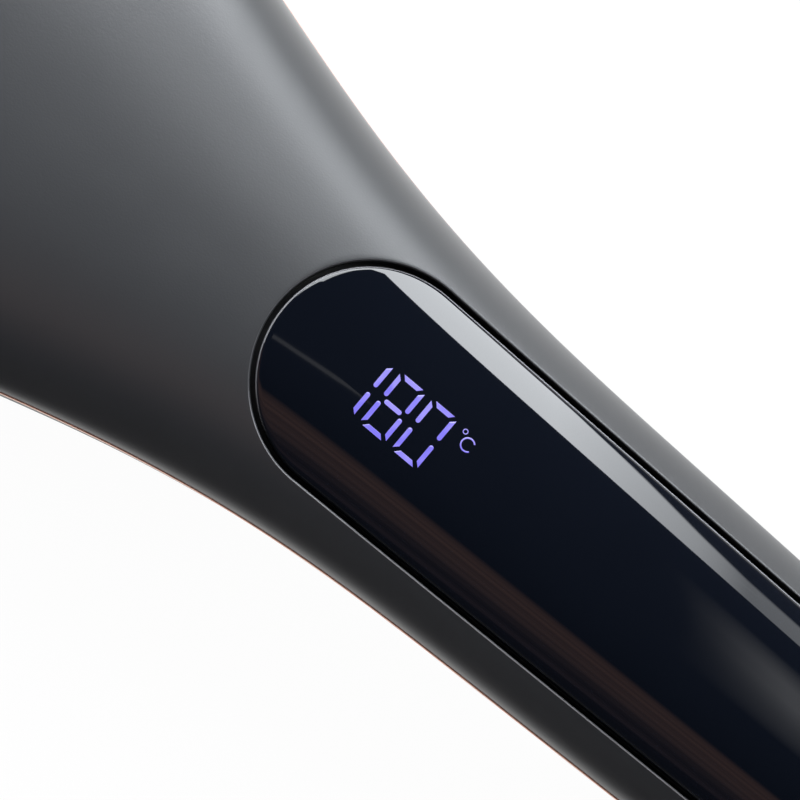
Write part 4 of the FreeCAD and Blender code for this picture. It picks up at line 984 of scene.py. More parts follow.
@dataclass(frozen=True)
class PanelOutline:
    """The display panel's outline: two round ends joined by their common tangents."""

    display_x: float
    head_radius: float = 13.66 * MM
    tail_radius: float = 11.6 * MM
    head_reach: float = 18.7 * MM
    tail_reach: float = 113.0 * MM

    @property
    def centres(self) -> tuple[float, float]:
        """X of the two round ends' centres."""
        return (self.display_x - self.head_reach + self.head_radius,
                self.display_x + self.tail_reach - self.tail_radius)

    @property
    def top(self) -> float:
        """Angle of the tangent points, in radians."""
        first, last = self.centres
        return math.pi / 2 - math.asin((self.head_radius - self.tail_radius) / (last - first))

    def spine(self, spans: Sequence[tuple[str, float, float, int]]) -> tuple[np.ndarray, ...]:
        """Centre, direction and radius of outline points of the +Y half.

        Args:
            spans: ("head" | "tail", start degrees, end degrees, count) for an arc, or
                ("side", start share, end share, count) for the tangent.

        Returns:
            Centre X, unit directions (n, 2), and radii at no margin.
        """
        parts = []
        for kind, start, end, count in spans:
            t = np.linspace(start, end, count, endpoint=False)
            if kind == "side":
                share, angle = t, np.full(count, self.top)
            else:
                share, angle = np.full(count, float(kind == "tail")), np.radians(t)
            parts.append((share, angle))
        share, angle = (np.concatenate(column) for column in zip(*parts))
        first, last = self.centres
        ways = np.stack([np.cos(angle), np.sin(angle)], -1)
        return first + (last - first) * share, ways, self._radius(share)

    def _radius(self, share: np.ndarray) -> np.ndarray:
        """The outline's radius at a share of the way from the head's to the tail's centre."""
        return self.head_radius + (self.tail_radius - self.head_radius) * share

    def distance(self, plan: np.ndarray) -> np.ndarray:
        """How far plan points lie outside the outline.

        Each point belongs to the circle whose radius passes through it square to the tangent.

        Args:
            plan: plan points, of shape (n, 2).

        Returns:
            Distances, negative inside.
        """
        first, last = self.centres
        reach = last - first
        lean = math.tan(math.pi / 2 - self.top)
        share = np.clip((plan[:, 0] - np.abs(plan[:, 1]) * lean - first) / reach, 0, 1)
        return np.hypot(plan[:, 0] - first - reach * share, plan[:, 1]) - self._radius(share)

    def loop(self, spine: tuple[np.ndarray, ...], margin: float) -> np.ndarray:
        """A closed loop at a margin outside the outline.

        Args:
            spine: the outline's points, from spine.
            margin: how far outside the outline.

        Returns:
            Plan points of the whole loop.
        """
        middle, ways, radius = spine
        points = ways * (radius + margin)[:, None]
        points[:, 0] += middle
        return mirrored(points)


@dataclass(frozen=True)
class BackShell:
    """Upper casing: the curved back with the panel's recess, the bay's wall and its deck."""

    casing: Casing
    outline: PanelOutline
    bay_x: float
    deck_top: float
    lip: float = 0.35 * MM
    floor_top: float = 2.35 * MM
    floor_back: float = 3.65 * MM
    bed_margin: float = 4.0 * MM
    bed_reach: float = 6.0 * MM
    side_start: float = -14.0 * MM
    heel_start: float = 106.0 * MM
    key_half_width: float = 5.0 * MM
    key_depth: float = 0.9 * MM
    pipe_radius: float = 2.9 * MM
    skin_rows: int = 84
    close_row: float = 0.003
    # Weights of the lip's painted highlight, and where it fades in across Y.
    faint_lip_highlight: float = 0.12
    full_lip_highlight: float = 0.5
    lip_highlight_edge: float = -9.0 * MM
    lip_highlight_fade: float = 6.0 * MM

    def build(self) -> bpy.types.Object:
        """Makes the shell and cuts the swivel's and the tank pipe's holes.

        Returns:
            The shell.
        """
        sheets = Sheets()
        sheets.grid(self._ring(), wrap_rows=True, wrap_columns=True)
        self._deck(sheets)
        piece = sheets.piece("back_shell", CHARCOAL)
        room, spot = 4 * self.casing.wall, (self.bay_x, 0, middle_of("inlet_tube").z)
        drill(piece, CHARCOAL, self.casing.sleeve_hole(),
              lathe(rod(-room, room, self.pipe_radius), spot, "X"))
        self._mark(piece.data)
        return ride(piece, "housing", "casing_grey", "back_housing")

    def _mark(self, mesh: bpy.types.Mesh) -> None:
        """Marks where a highlight is painted on the lip's band and shade is painted in the recess,
        by their distance from the panel's outline.

        The painted highlight's weight is faint - (y - edge) / fade, held between faint and full, so
        it is strong on the -Y side only.

        Args:
            mesh: the shell's mesh.
        """
        spots = points_of(mesh)
        away = self.outline.distance(spots[:, :2])
        deep = self.casing.back(spots[:, :2]) - spots[:, 2]
        lip = (away > 0.4 * self.lip) & (away < 0.6 * self.lip)
        past = (spots[:, 1] - self.lip_highlight_edge) / self.lip_highlight_fade
        pale = np.clip(self.faint_lip_highlight - past, self.faint_lip_highlight, self.full_lip_highlight)
        # Painted highlight on the lip's band, strongest on the -Y side.
        write_mark(mesh, "lip", lip * pale)
        # Painted shade on the recess's wall and floor, where light hardly reaches.
        write_mark(mesh, "recess", (away < 0.1 * self.lip) & (deep > 1.2 * self.lip))

    def _halves(self, inset: float, start: float) -> np.ndarray:
        """The casing outline's loop, from the bay's wall round to the tail's middle.

        Args:
            inset: how far inside the outer form.
            start: station of the bay's wall.

        Returns:
            Plan points of the loop.
        """
        c = self.casing
        bends = (start, self.side_start, self.heel_start, c.tail_start)
        stations = [np.linspace(first, last, count + 1)[:-1]
                    for first, last, count in zip(bends, bends[1:], (60, 110, 16))]
        runs = [c.end_line(start, inset, 41)[:-1]]
        runs += [c.side(run, inset) for run in (*stations, c.tail_stations(15, inset))]
        runs.append(c.end_line(c.handle_reach - inset, inset, 13)[::-1][1:])
        return mirrored(np.concatenate(runs))

    def _spine(self) -> tuple[np.ndarray, ...]:
        """The panel outline's points that match the casing outline's.

        Returns:
            The points, as PanelOutline.spine gives them.
        """
        top = math.degrees(self.outline.top)
        return self.outline.spine([
            ("head", 180.0, 138.0, 40), ("head", 138.0, top, 60), ("side", 0.0, 1.0, 110),
            ("tail", top, 52.0, 16), ("tail", 52.0, 16.0, 15), ("tail", 16.0, 0.0, 11),
            ("tail", 0.0, -1.0, 1),
        ])

    def _ring(self) -> np.ndarray:
        """The closed section carried round the panel: lip, back, rim, inside, bed and recess.

        The lip is a quarter circle at the recess's mouth. Rows of the back and of the inside lie
        on the casing's form, spread between the panel's outline and the casing's.

        Returns:
            A grid of shape (section points, loop points, 3).
        """
        c, spine = self.casing, self._spine()
        mouth, edge, bed = (self.outline.loop(spine, m) for m in (0.0, self.lip, -self.bed_reach))
        start = self.bay_x - c.display_x
        outer, inside = self._halves(0.0, start), self._halves(c.wall, start + c.wall)
        reach = np.linalg.norm(inside - mouth, axis=1)
        margin = mouth + (inside - mouth) * np.minimum(self.bed_margin / reach, 0.5)[:, None]
        power = exponents(outer, self.bay_x, 1.0)
        rows = []
        for turn in sweep(90, 0, 7)[:-1]:
            plan = self.outline.loop(spine, self.lip * (1 - math.sin(turn)))
            rows.append(c.cover(plan, sink=self.lip * (1 - math.cos(turn))))
        for t in (0.0, self.close_row, *np.linspace(0, 1, self.skin_rows)[1:]):
            rows.append(c.cover(between(edge, outer, t, power)))
        rows += [raised(outer, c.parting), raised(inside, c.parting)]
        for t in np.linspace(1, 0, 24):
            rows.append(c.cover(between(margin, inside, t, power), c.wall))
        rows += [c.cover(plan, self.floor_back) for plan in (margin, mouth, bed)]
        rows += [c.cover(plan, self.floor_top) for plan in (bed, mouth)]
        return np.array(rows)

    def _deck(self, sheets: Sheets) -> None:
        """The floor that the tank slides on, with its key channel, as a section along X.

        Each section's corners are held inside the casing's outline at their own height.

        Args:
            sheets: where the surfaces are added.
        """
        c = self.casing
        run = np.linspace(c.tip_start, self.bay_x - c.display_x + c.wall / 2, 30)[1:]
        stations = np.concatenate([c.tip_stations(28), run])
        width, share, _ = c.section(stations)
        rise = np.clip((self.deck_top - c.parting) / np.maximum(c.back_height * share, 1e-6), 0, 1)
        n = c.back_fullness
        upper = width * (1 - rise ** n) ** (1 / n)
        channel = np.minimum(self.key_half_width, upper)
        low, top = c.parting, self.deck_top
        deep = top - self.key_depth
        corners = [(-width, low), (-upper, top), (-channel, top), (-channel, deep),
                   (channel, deep), (channel, top), (upper, top), (width, low)]
        x = stations + c.display_x
        grid = np.stack([np.stack([x, y, np.full_like(x, z)], -1) for y, z in corners], 1)
        sheets.grid(grid, wrap_columns=True)
        sheets.grid(np.stack([grid[-1, :4], grid[-1, :3:-1]]))


def arc(centre: Sequence[float], radius: float, stroke: float, start: float, end: float
        ) -> np.ndarray:
    """A round stroke between two angles in degrees.

    Args:
        centre: its centre.
        radius: the radius of its middle line.
        stroke: its width.
        start: the first angle.
        end: the last angle.

    Returns:
        Plan points, of shape (40, 3, 2).
    """
    angle = sweep(start, end, 40)[:, None]
    reach = radius + stroke * np.linspace(-0.5, 0.5, 3)
    return np.array(centre) + np.stack([np.cos(angle) * reach, np.sin(angle) * reach], -1)


@dataclass(frozen=True)
class DisplayPanel:
    """The black lens with its round key openings, and the lit figures that lie on it.

    The gap of a digit's level bars is a share of the stroke, the middle bar's of half of it.
    """

    casing: Casing
    outline: PanelOutline
    key_places: tuple[float, ...]
    gap: float = 0.6 * MM
    inset: float = 0.25 * MM
    thickness: float = 1.4 * MM
    edge: float = 0.38 * MM
    key_hole: float = 4.2 * MM
    key_flare: float = 0.5 * MM
    key_floor: float = 37.0 * MM
    digit_height: float = 7.3 * MM
    digit_width: float = 3.62 * MM
    digit_pitch: float = 4.58 * MM
    stroke: float = 0.55 * MM
    middle_gap: float = 0.85 * MM
    tip_gap: float = 0.30 * MM
    first_right: float = -4.40 * MM
    centre_y: float = -0.73 * MM
    figure_thickness: float = 0.03 * MM
    mitre: float = 0.92
    level_gap: float = 0.3
    middle_bar_gap: float = 0.6
    degree_spot: tuple[float, float] = (6.25 * MM, 3.15 * MM)
    unit_spot: tuple[float, float] = (7.37 * MM, 2.15 * MM)
    # Where the lens rim's painted highlight fades out towards -Y.
    rim_highlight_edge: float = -12.0 * MM
    rim_highlight_fade: float = 3.0 * MM

    @classmethod
    def on(cls, casing: Casing, key_places: tuple[float, ...]) -> "DisplayPanel":
        """A panel whose section stays the grip's own further into the casing's flare."""
        level = replace(casing, flare_start=10.0 * MM)
        return cls(level, PanelOutline(casing.display_x), key_places)

    def build(self) -> None:
        """Makes the lens and the figures."""
        self._lens()
        self._figures()

    def _lens(self) -> None:
        """A closed section carried round the outline; its two ends meet on the panel's middle.

        The top follows the casing's form at the inset, and its edge is a quarter circle.
        """
        c, top = self.casing, math.degrees(self.outline.top)
        spine = self.outline.spine([("head", 180.0, top, 48), ("side", 0.0, 1.0, 130),
                                    ("tail", top, 0.0, 42), ("tail", 0.0, -1.0, 1)])
        axis = mirrored(np.stack([spine[0], np.zeros_like(spine[0])], -1))
        top_edge = self.outline.loop(spine, -self.gap - self.edge)
        rim = self.outline.loop(spine, -self.gap)
        rows = [c.cover(axis + (top_edge - axis) * t, self.inset) for t in np.linspace(0, 1, 34)]
        for turn in sweep(0, 90, 7)[1:]:
            plan = self.outline.loop(spine, -self.gap - self.edge * (1 - math.sin(turn)))
            rows.append(c.cover(plan, self.inset, self.edge * (1 - math.cos(turn))))
        back = self.inset + self.thickness
        rows += [c.cover(axis + (rim - axis) * t, back) for t in np.linspace(1, 0, 6)]
        piece = solid("display_glass", PANEL, np.array(rows), wrap_columns=True)
        drill(piece, PANEL, *self._key_holes())
        spots = points_of(piece.data)
        away = self.outline.distance(spots[:, :2]) + self.gap
        deep = c.back(spots[:, :2], self.inset) - spots[:, 2]
        # Painted highlight on the lens's rim: full on the +Y side, gone on the -Y side.
        edge = (np.abs(away) < 0.4 * self.edge) & (deep < 0.8 * self.edge)
        fade = np.clip((spots[:, 1] - self.rim_highlight_edge) / self.rim_highlight_fade, 0.0, 1.0)
        write_mark(piece.data, "rim", edge * fade)
        ride(piece, "housing", "panel_black", "display_lens")

    def _key_holes(self) -> list[np.ndarray]:
        """The cutters for the keys' holes, which open a little at the glass.

        Returns:
            One grid for each key.
        """
        hole, wide = self.key_hole, self.key_hole + self.key_flare
        top = self.casing.crown - self.inset - self.key_floor
        below, above, bevel = -2.0 * MM, top + 4.0 * MM, 0.1 * MM
        profile = [(below, 0), (below, hole), (top - 4 * bevel, hole),
                   (top - bevel, hole + bevel), (top + 3 * bevel, wide), (above, wide),
                   (above, 0)]
        return [lathe(profile, (x, 0, self.key_floor)) for x in self.key_places]

    def bar(self, start: Sequence[float], end: Sequence[float], outer: int, cut: tuple[str, str]
            ) -> np.ndarray:
        """One segment as a grid, on the display's own plane.

        Across the bar w runs from -1 to 1. An end that is cut stands back by
        mitre (1 - w outer) / 2 strokes, a round one by the height of a half circle.

        Args:
            start: first end (x, y).
            end: last end (x, y).
            outer: the side, 1 or -1, that stays long where an end is cut.
            cut: "mitre" or "round" for each end.

        Returns:
            A grid of plan points, shape (13, 7, 2).
        """
        first, last = np.array(start, float), np.array(end, float)
        length = np.linalg.norm(last - first)
        way = (last - first) / length
        normal = np.array([-way[1], way[0]])
        w = np.sin(np.linspace(-np.pi / 2, np.pi / 2, 7))
        half = self.stroke / 2
        back = {
            "mitre": self.stroke * self.mitre * (1 - w * outer) / 2,
            "round": half * (1 - np.sqrt(np.maximum(1 - w ** 2, 0))),
        }
        s = np.linspace(0, 1, 13)[:, None]
        along = back[cut[0]] + (length - back[cut[1]] - back[cut[0]]) * s
        across = np.broadcast_to(w * half, along.shape)
        return first + along[..., None] * way + across[..., None] * normal

    def _digit(self, right: float, lit: str) -> list[np.ndarray]:
        """The bars of one digit that are lit, named a to g as on any such display.

        Args:
            right: X of the digit's right side.
            lit: the letters of its lit bars.

        Returns:
            One grid for each bar.
        """
        left, high = right - self.digit_width, self.digit_height / 2
        half, gap, far = self.stroke / 2, self.middle_gap / 2, high - self.tip_gap
        inner_left, inner_right = left + half, right - half
        tip = self.tip_gap + self.stroke * self.level_gap
        short = tip + half * self.middle_bar_gap
        mitred, rounds = ("mitre", "mitre"), ("round", "round")
        up, down = ("mitre", "round"), ("round", "mitre")
        bars = {
            "a": ((left + tip, high - half), (right - tip, high - half), 1, mitred),
            "b": ((inner_right, far), (inner_right, gap), 1, up),
            "c": ((inner_right, -gap), (inner_right, -far), 1, down),
            "d": ((left + tip, half - high), (right - tip, half - high), -1, mitred),
            "e": ((inner_left, -gap), (inner_left, -far), -1, down),
            "f": ((inner_left, far), (inner_left, gap), -1, up),
            "g": ((left + short, 0.0), (right - short, 0.0), 1, rounds),
        }
        return [self.bar(*bars[name]) for name in lit]

    def _figures(self) -> None:
        """180 and its unit sign, as thin pieces on the glass."""
        centre = np.array([self.casing.display_x, self.centre_y])
        grids = []
        for i, lit in enumerate(("bc", "abcdefg", "abcdef")):
            grids += self._digit(self.first_right + i * self.digit_pitch, lit)
        grids.append(arc(self.degree_spot, 0.27 * MM, 0.10 * MM, 0, 360))
        grids.append(arc(self.unit_spot, 0.78 * MM, 0.17 * MM, 40, 320))
        sheets, lift = Sheets(), 0.02 * MM
        for grid in grids:
            sheets.grid(self.casing.cover(grid + centre, self.inset, -lift))
        piece = sheets.piece("lit_figures", FIGURES)
        thicken(piece, self.figure_thickness)
        ride(piece, "housing", "display_face")


class Symbol(Enum):
    """What a key shows."""

    STEAM = "steam"
    PLUS = "plus"
    MINUS = "minus"
    POWER = "power"


@dataclass(frozen=True)
class Keys:
    """The four round keys, dished and marked."""

    radius: float = 4.0 * MM
    flange: float = 4.6 * MM
    stem: float = 1.8 * MM
    base: float = 0.4 * MM
    flange_top: float = 1.2 * MM
    border: float = 0.5 * MM
    bend: float = 0.35 * MM
    dish: float = 0.2 * MM
    stroke: float = 0.32 * MM
    arm: float = 1.3 * MM
    ring: float = 1.25 * MM
    curl_pitch: float = 0.95
    lift: float = 0.015 * MM
    lift_step: float = 0.004 * MM
    print_thickness: float = 0.03 * MM

    def build(self) -> None:
        """Makes each key and its mark."""
        for symbol in Symbol:
            low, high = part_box(f"{symbol.value}_button")
            centre = ((low.x + high.x) / 2, 0.0, low.z)
            self._key(symbol.value, centre, high.z - low.z)
            self._mark(symbol, centre, high.z - low.z)

    def _top(self, reach: np.ndarray, height: float) -> np.ndarray:
        """Height of the dished top, height - dish (1 - (reach / edge)^2), at a reach."""
        edge = self.radius - self.border
        return height - self.dish * (1 - np.clip(reach / edge, 0, 1) ** 2)

    def _key(self, name: str, centre: Sequence[float], height: float) -> None:
        """One key: stem, flange, wall, rounded shoulder and dished top.

        Args:
            name: the key's name.
            centre: the foot of its axis.
            height: from its foot to its rim.
        """
        wall = [(0, 0), (0, self.stem), (self.base, self.stem), (self.base, self.flange),
                (self.flange_top, self.flange), (self.flange_top, self.radius)]
        shoulder = [(height - self.bend + self.bend * math.sin(turn),
                     self.radius - self.bend * (1 - math.cos(turn))) for turn in sweep(0, 90, 7)]
        reach = np.linspace(self.radius - self.border, 0, 14)
        top = list(zip(self._top(reach, height), reach))
        grid = lathe(wall + shoulder + top, centre, turns=72)
        piece = solid(f"{name}_cap", KEY_BLACK, grid, wrap_columns=True)
        ride(piece, f"{name}_key", "key_black", f"{name}_button")

    def _mark(self, symbol: Symbol, centre: Sequence[float], height: float) -> None:
        """The key's sign as strokes that lie in its dish.

        Args:
            symbol: the sign.
            centre: the foot of the key's axis.
            height: from the key's foot to its rim.
        """
        arm = self.arm
        level = self._line((-arm, 0), (arm, 0))
        strokes = {
            Symbol.PLUS: [level, self._line((0, -arm), (0, arm))],
            Symbol.MINUS: [level],
            Symbol.POWER: [arc((0, 0), self.ring, self.stroke, 125, 415),
                           self._line((0, 0.3 * MM), (0, 1.75 * MM))],
            Symbol.STEAM: [self._wave(side * self.curl_pitch) for side in (-1, 0, 1)],
        }[symbol]
        sheets = Sheets()
        for i, plan in enumerate(strokes):
            lift = self.lift + self.lift_step * i
            z = self._top(np.linalg.norm(plan, axis=-1), height) + lift + centre[2]
            sheets.grid(raised(plan + np.array(centre[:2]), z))
        piece = sheets.piece(f"{symbol.value}_mark", PRINT)
        thicken(piece, self.print_thickness)
        ride(piece, f"{symbol.value}_key", "display_face")

    def _line(self, start: Sequence[float], end: Sequence[float]) -> np.ndarray:
        """A straight stroke between two points.

        Args:
            start: its first end.
            end: its last end.

        Returns:
            Plan points, of shape (12, 3, 2).
        """
        first, last = np.array(start), np.array(end)
        way = (last - first) / np.linalg.norm(last - first)
        side = np.array([-way[1], way[0]]) * self.stroke / 2
        t = np.linspace(0, 1, 12)[:, None, None]
        w = np.linspace(-1, 1, 3)[None, :, None]
        return first + (last - first) * t + side * w

    def _wave(self, across: float) -> np.ndarray:
        """A curl of steam, as a sine along X.

        Args:
            across: Y of its middle line, in millimetres.

        Returns:
            Plan points, of shape (28, 3, 2).
        """
        reach, swing = 1.35, 0.32
        t = np.linspace(-1, 1, 28)
        x, y = reach * t, across + swing * np.sin(np.pi * t)
        normal = np.stack([-swing * np.pi * np.cos(np.pi * t), np.full_like(t, reach)], -1)
        normal /= np.linalg.norm(normal, axis=1)[:, None]
        w = np.linspace(-1, 1, 3)[None, :, None] * self.stroke / 2
        return np.stack([x, y], -1)[:, None] * MM + normal[:, None] * w


@dataclass(frozen=True)
class TrimBand:
    """The metal band between the casings, open where the cord's swivel passes."""

    casing: Casing
    proud: float = 0.16 * MM
    width: float = 2.6 * MM
    bend: float = 0.45 * MM
    tail_gap: float = 7.75 * MM

    def build(self) -> bpy.types.Object:
        """A rounded section carried along the outline, from one side of the swivel to the other.

        Returns:
            The band.
        """
        c = self.casing
        side = np.linspace(c.tip_start, c.tail_start, 260)
        outer, inner = (
            np.concatenate([c.side(run, inset) for run in (
                c.tip_stations(70, inset)[:-1], side, c.tail_stations(14, inset)[1:])])
            for inset in (-self.proud, self.width))
        keep = outer[:, 1] > np.where(outer[:, 0] > c.display_x, self.tail_gap, -1)
        outer, inner = (np.concatenate([run[keep][::-1], run[keep][1:] * [1, -1]])
                        for run in (outer, inner))
        deep = self.width + self.proud
        corners = [(0, c.band_bottom), (0, c.parting), (deep, c.parting), (deep, c.band_bottom)]
        section = np.array(rounded(corners, self.bend, 5, closed=True))
        share = (section[:, 0] / deep)[None, :, None]
        plan = outer[:, None] * (1 - share) + inner[:, None] * share
        grid = raised(plan, section[:, 1])
        sheets = Sheets()
        sheets.grid(grid, wrap_columns=True)
        for end in (grid[0], grid[-1]):
            middle = np.broadcast_to(end.mean(0), end.shape)
            sheets.grid(np.stack([end, middle]), wrap_columns=True)
        return ride(sheets.piece("trim_ring", ROSE), "housing", "rose_gold", "trim_band")


@dataclass(frozen=True)
class FrontShell:
    """Lower casing: an open rim round the head and a closed grip behind the shoulder.

    The cups are (station, y) in millimetres of the screws that hold the casings together.
    """

    casing: Casing
    rim_z: float
    shoulder_x: float
    ledge_top: float
    cups: Profile = ((-51.0, 20.0), (-51.0, -20.0), (-8.0, 13.6), (-8.0, -13.6), (114.2, 0.0))
    wall: float = 2.0 * MM
    cup_radius: float = 2.7 * MM
    cup_wall: float = 1.3 * MM
    screw_hole: float = 1.4 * MM
    seat_z: float = 16.5 * MM
    tip_power: float = 0.25

    @property
    def cup_spots(self) -> list[Spot]:
        """Where the cups stand."""
        return [(self.casing.display_x + s * MM, y * MM, 0) for s, y in self.cups]

    def build(self) -> bpy.types.Object:
        """Makes the skin, gives it its wall, and cuts the screw cups and the swivel's hole.

        Returns:
            The shell.
        """
        sheets = Sheets()
        self._skin(sheets)
        piece = sheets.piece("front_shell", SHELL_DARK)
        thicken(piece, self.wall)
        cup = rod(0, self.seat_z, self.cup_radius)
        drill(piece, SHELL_DARK, self.casing.sleeve_hole(),
              *(lathe(cup, spot, turns=64) for spot in self.cup_spots))
        ride(piece, "housing", "casing_grey", "front_housing")
        self._inside()
        return piece

    def _skin(self, sheets: Sheets) -> None:
        """The outer surface, by stations and polar angles of each section.

        With the angle f, y / width = cos f / N and z / depth = sin f / N, where
        N = (|cos f|^n + |sin f|^n)^(1/n). The side band runs down to the rim's height, and
        only the grip goes on under the middle.

        Args:
            sheets: where the surfaces are added.
        """
        c = self.casing
        shoulder = self.shoulder_x - c.display_x
        head = np.concatenate([c.tip_stations(60), np.linspace(c.tip_start, shoulder, 90)[1:]])
        stations = np.concatenate([
            head, np.linspace(shoulder, c.tail_start, 150)[1:], c.tail_stations(15)[1:]])
        width, share, loss = c.section(stations)
        depth = np.maximum(c.front_depth * share ** self.tip_power - loss, 1e-7)
        n = c.fullness(stations)
        full = np.where(stations > shoulder, c.front_depth, depth)
        rim = np.clip((c.band_bottom - self.rim_z) / full, 0, 1)
        limit = np.arctan2(rim, (1 - rim ** n) ** (1 / n))

        def points(angles: np.ndarray, pick: slice, flip: float = 1.0) -> np.ndarray:
            """Points of the chosen stations.

            Args:
                angles: the angles f, of shape (stations, steps).
                pick: which stations.
                flip: -1 for the -Y side.

            Returns:
                Points, of shape (stations, steps, 3).
            """
            power = n[pick, None]
            size = np.abs(np.cos(angles)) ** power + np.abs(np.sin(angles)) ** power
            size = size ** (1 / power)
            y = flip * width[pick, None] * np.cos(angles) / size
            z = c.band_bottom - depth[pick, None] * np.sin(angles) / size
            x = np.broadcast_to((stations[pick] + c.display_x)[:, None], y.shape)
            return np.stack([x, y, z], -1)

        for flip in (1.0, -1.0):
            sheets.grid(points(limit[:, None] * np.linspace(0, 1, 26), slice(None), flip))
        under = slice(len(head) - 1, None)
        start = limit[under, None]
        sheets.grid(points(start + (np.pi - 2 * start) * np.linspace(0, 1, 70), under))
        end = points(np.pi * np.linspace(0, 1, 60)[None], slice(-1, None))[0]
        sheets.grid(np.stack([end, end * [1, 1, 0] + [0, 0, c.band_bottom]]))

    def _inside(self) -> None:
        """The shoulder's wall behind the frame, the ledge over it, and the screw cups."""
        c = self.casing
        shoulder = self.shoulder_x - c.display_x
        width = float(c.section(shoulder)[0]) - self.wall / 2
        depth, n = c.front_depth - self.wall / 2, float(c.fullness(shoulder))
        y = width * np.sin(np.linspace(-np.pi / 2, np.pi / 2, 61))
        curve = c.band_bottom - depth * (1 - np.abs(y / width) ** n) ** (1 / n)
        low, top = np.minimum(curve, self.ledge_top), np.full_like(y, self.ledge_top)
        step = 0.05 * MM
        corners = [(step, low), (step, top), (self.wall, top), (self.wall, low)]
        rows = [np.stack([np.full_like(y, self.shoulder_x + x), y, z], -1) for x, z in corners]
        sheets = Sheets()
        sheets.grid(np.array(rows), wrap_rows=True)
        inner, outer, hole = self.cup_radius, self.cup_radius + self.cup_wall, self.screw_hole
        foot, seat = c.band_bottom - c.front_depth, self.seat_z
        floor = seat + self.cup_wall
        profile = [(foot, inner), (foot, outer), (floor, outer), (floor, hole), (seat, hole),
                   (seat, inner), (foot, inner)]
        for spot in self.cup_spots:
            tube = lathe(profile, spot, turns=64)
            tube[..., 2] = np.maximum(tube[..., 2], c.front(tube[..., :2]) + self.wall / 4)
            sheets.grid(tube, wrap_columns=True)
        ride(sheets.piece("front_inside", SHELL_DARK), "housing", "casing_grey")


@dataclass(frozen=True)
class WaterTank:
    """The clear tank with its filler seat and silicone plug."""

    casing: Casing
    end_x: float
    floor_z: float
    wall: float = 1.8 * MM
    seat_radius: float = 6.3 * MM
    bore: float = 4.1 * MM
    neck: float = 7.2 * MM
    head_thickness: float = 1.6 * MM
    plug_radius: float = 6.0 * MM
    plug_bore: float = 4.0 * MM
    stem: float = 3.6 * MM
    lip: float = 0.35 * MM
    pipe: float = 2.6 * MM
    dish: float = 0.35 * MM
    dish_side: float = 0.25 * MM
    dish_share: float = 0.72

    def build(self) -> None:
        """Makes the shell and the plug."""
        low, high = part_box("filler_plug")
        middle = (low.x + high.x) / 2
        self._shell(np.array([middle, 0.0]))
        self._plug((middle, 0.0, high.z - self.head_thickness))

    def _edge(self, inset: float, end: float, count: int = 55) -> np.ndarray:
        """The form's outline at the floor, from the end wall round to the tip.

        At height h over the parting the half width is width (1 - (h / height)^n)^(1/n), and
        the outline closes where the section is only as high as that.

        Args:
            inset: how far inside the outer form.
            end: station of the end wall.
            count: points of the side, and of the tip.

        Returns:
            Plan points of the loop.
        """
        c = self.casing
        rise, full = self.floor_z - c.parting, c.back_height - inset
        n = c.back_fullness
        last = math.degrees(math.acos(rise / full))
        turn = np.radians(last * np.sin(np.linspace(0, np.pi / 2, count)))
        tip = c.tip_start - (c.tip_round - inset) * np.sin(turn)
        stations = np.concatenate([np.linspace(end, c.tip_start, count)[:-1], tip])
        width, share, _ = c.section(stations, inset)
        bent = np.clip(rise / (full * share), 0, 1)
        side = np.stack([stations + c.display_x, width * (1 - bent ** n) ** (1 / n)], -1)
        side[-1, 1] = 0.0
        t = np.linspace(0, 1, 30)[:-1]
        line = np.stack([np.full(t.size, end + c.display_x), side[0, 1] * (1 - (1 - t) ** 2)], -1)
        return mirrored(np.concatenate([line, side]))

    def _shell(self, centre: np.ndarray) -> None:
        """A closed section carried round the filler, along rays from its middle.

        Args:
            centre: the filler's middle, in plan.
        """
        c, floor = self.casing, self.floor_z
        end = self.end_x - c.display_x
        outer, inner = self._edge(0.0, end), self._edge(self.wall, end - self.wall)
        ray = outer - centre
        ray = ray / np.linalg.norm(ray, axis=1)[:, None]

        def circle(radius: float) -> np.ndarray:
            """Plan points on the rays at a radius from the filler's middle."""
            return centre + ray * radius

        seat = c.crown - self.head_thickness
        rows = [raised(circle(self.bore), seat), raised(circle(self.seat_radius), seat)]
        for turn in sweep(90, 0, 5):
            plan = circle(self.seat_radius + self.lip * (1 - math.sin(turn)))
            rows.append(c.cover(plan, sink=self.lip * (1 - math.cos(turn))))
        power = exponents(outer, self.end_x, 1.2)
        edge, neck = circle(self.seat_radius + self.lip), circle(self.neck)
        for t in np.linspace(0, 1, 60)[1:]:
            plan = between(edge, outer, t, power)
            rows.append(raised(plan, np.maximum(c.back(plan), floor)))
        rows += [raised(outer, floor), raised(inner, floor)]
        for t in np.linspace(1, 0, 30):
            plan = between(neck, inner, t, power)
            rows.append(raised(plan, np.maximum(c.back(plan, self.wall), floor)))
        rows += [raised(plan, seat - self.stem) for plan in (neck, circle(self.bore))]
        piece = solid("tank_clear", TANK, np.array(rows), wrap_rows=True, wrap_columns=True)
        room, spot = 2 * self.wall, (self.end_x, 0.0, middle_of("tank_outlet").z)
        drill(piece, TANK, lathe(rod(-room, room, self.pipe), spot, "X"))
        ride(piece, "tank", "tank_smoke", "tank_shell")

    def _plug(self, seat: Sequence[float]) -> None:
        """A soft plug with a shallow dish in its head.

        Args:
            seat: the middle of the seat that it lies on.
        """
        thick, radius, bore = self.head_thickness, self.plug_radius, self.plug_bore
        lift, bevel = 0.05 * MM, 0.5 * MM
        corners = [(-self.stem, 0), (-self.stem, bore - bevel), (bevel - self.stem, bore),
                   (lift, bore), (lift, radius), (thick, radius),
                   (thick - self.dish_side, radius * self.dish_share), (thick - self.dish, 0)]
        grid = lathe(rounded(corners, 0.4 * MM), seat)
        piece = solid("filler_stopper", SEAL, grid, wrap_columns=True)
        ride(piece, "filler", "seal_rubber", "filler_plug")


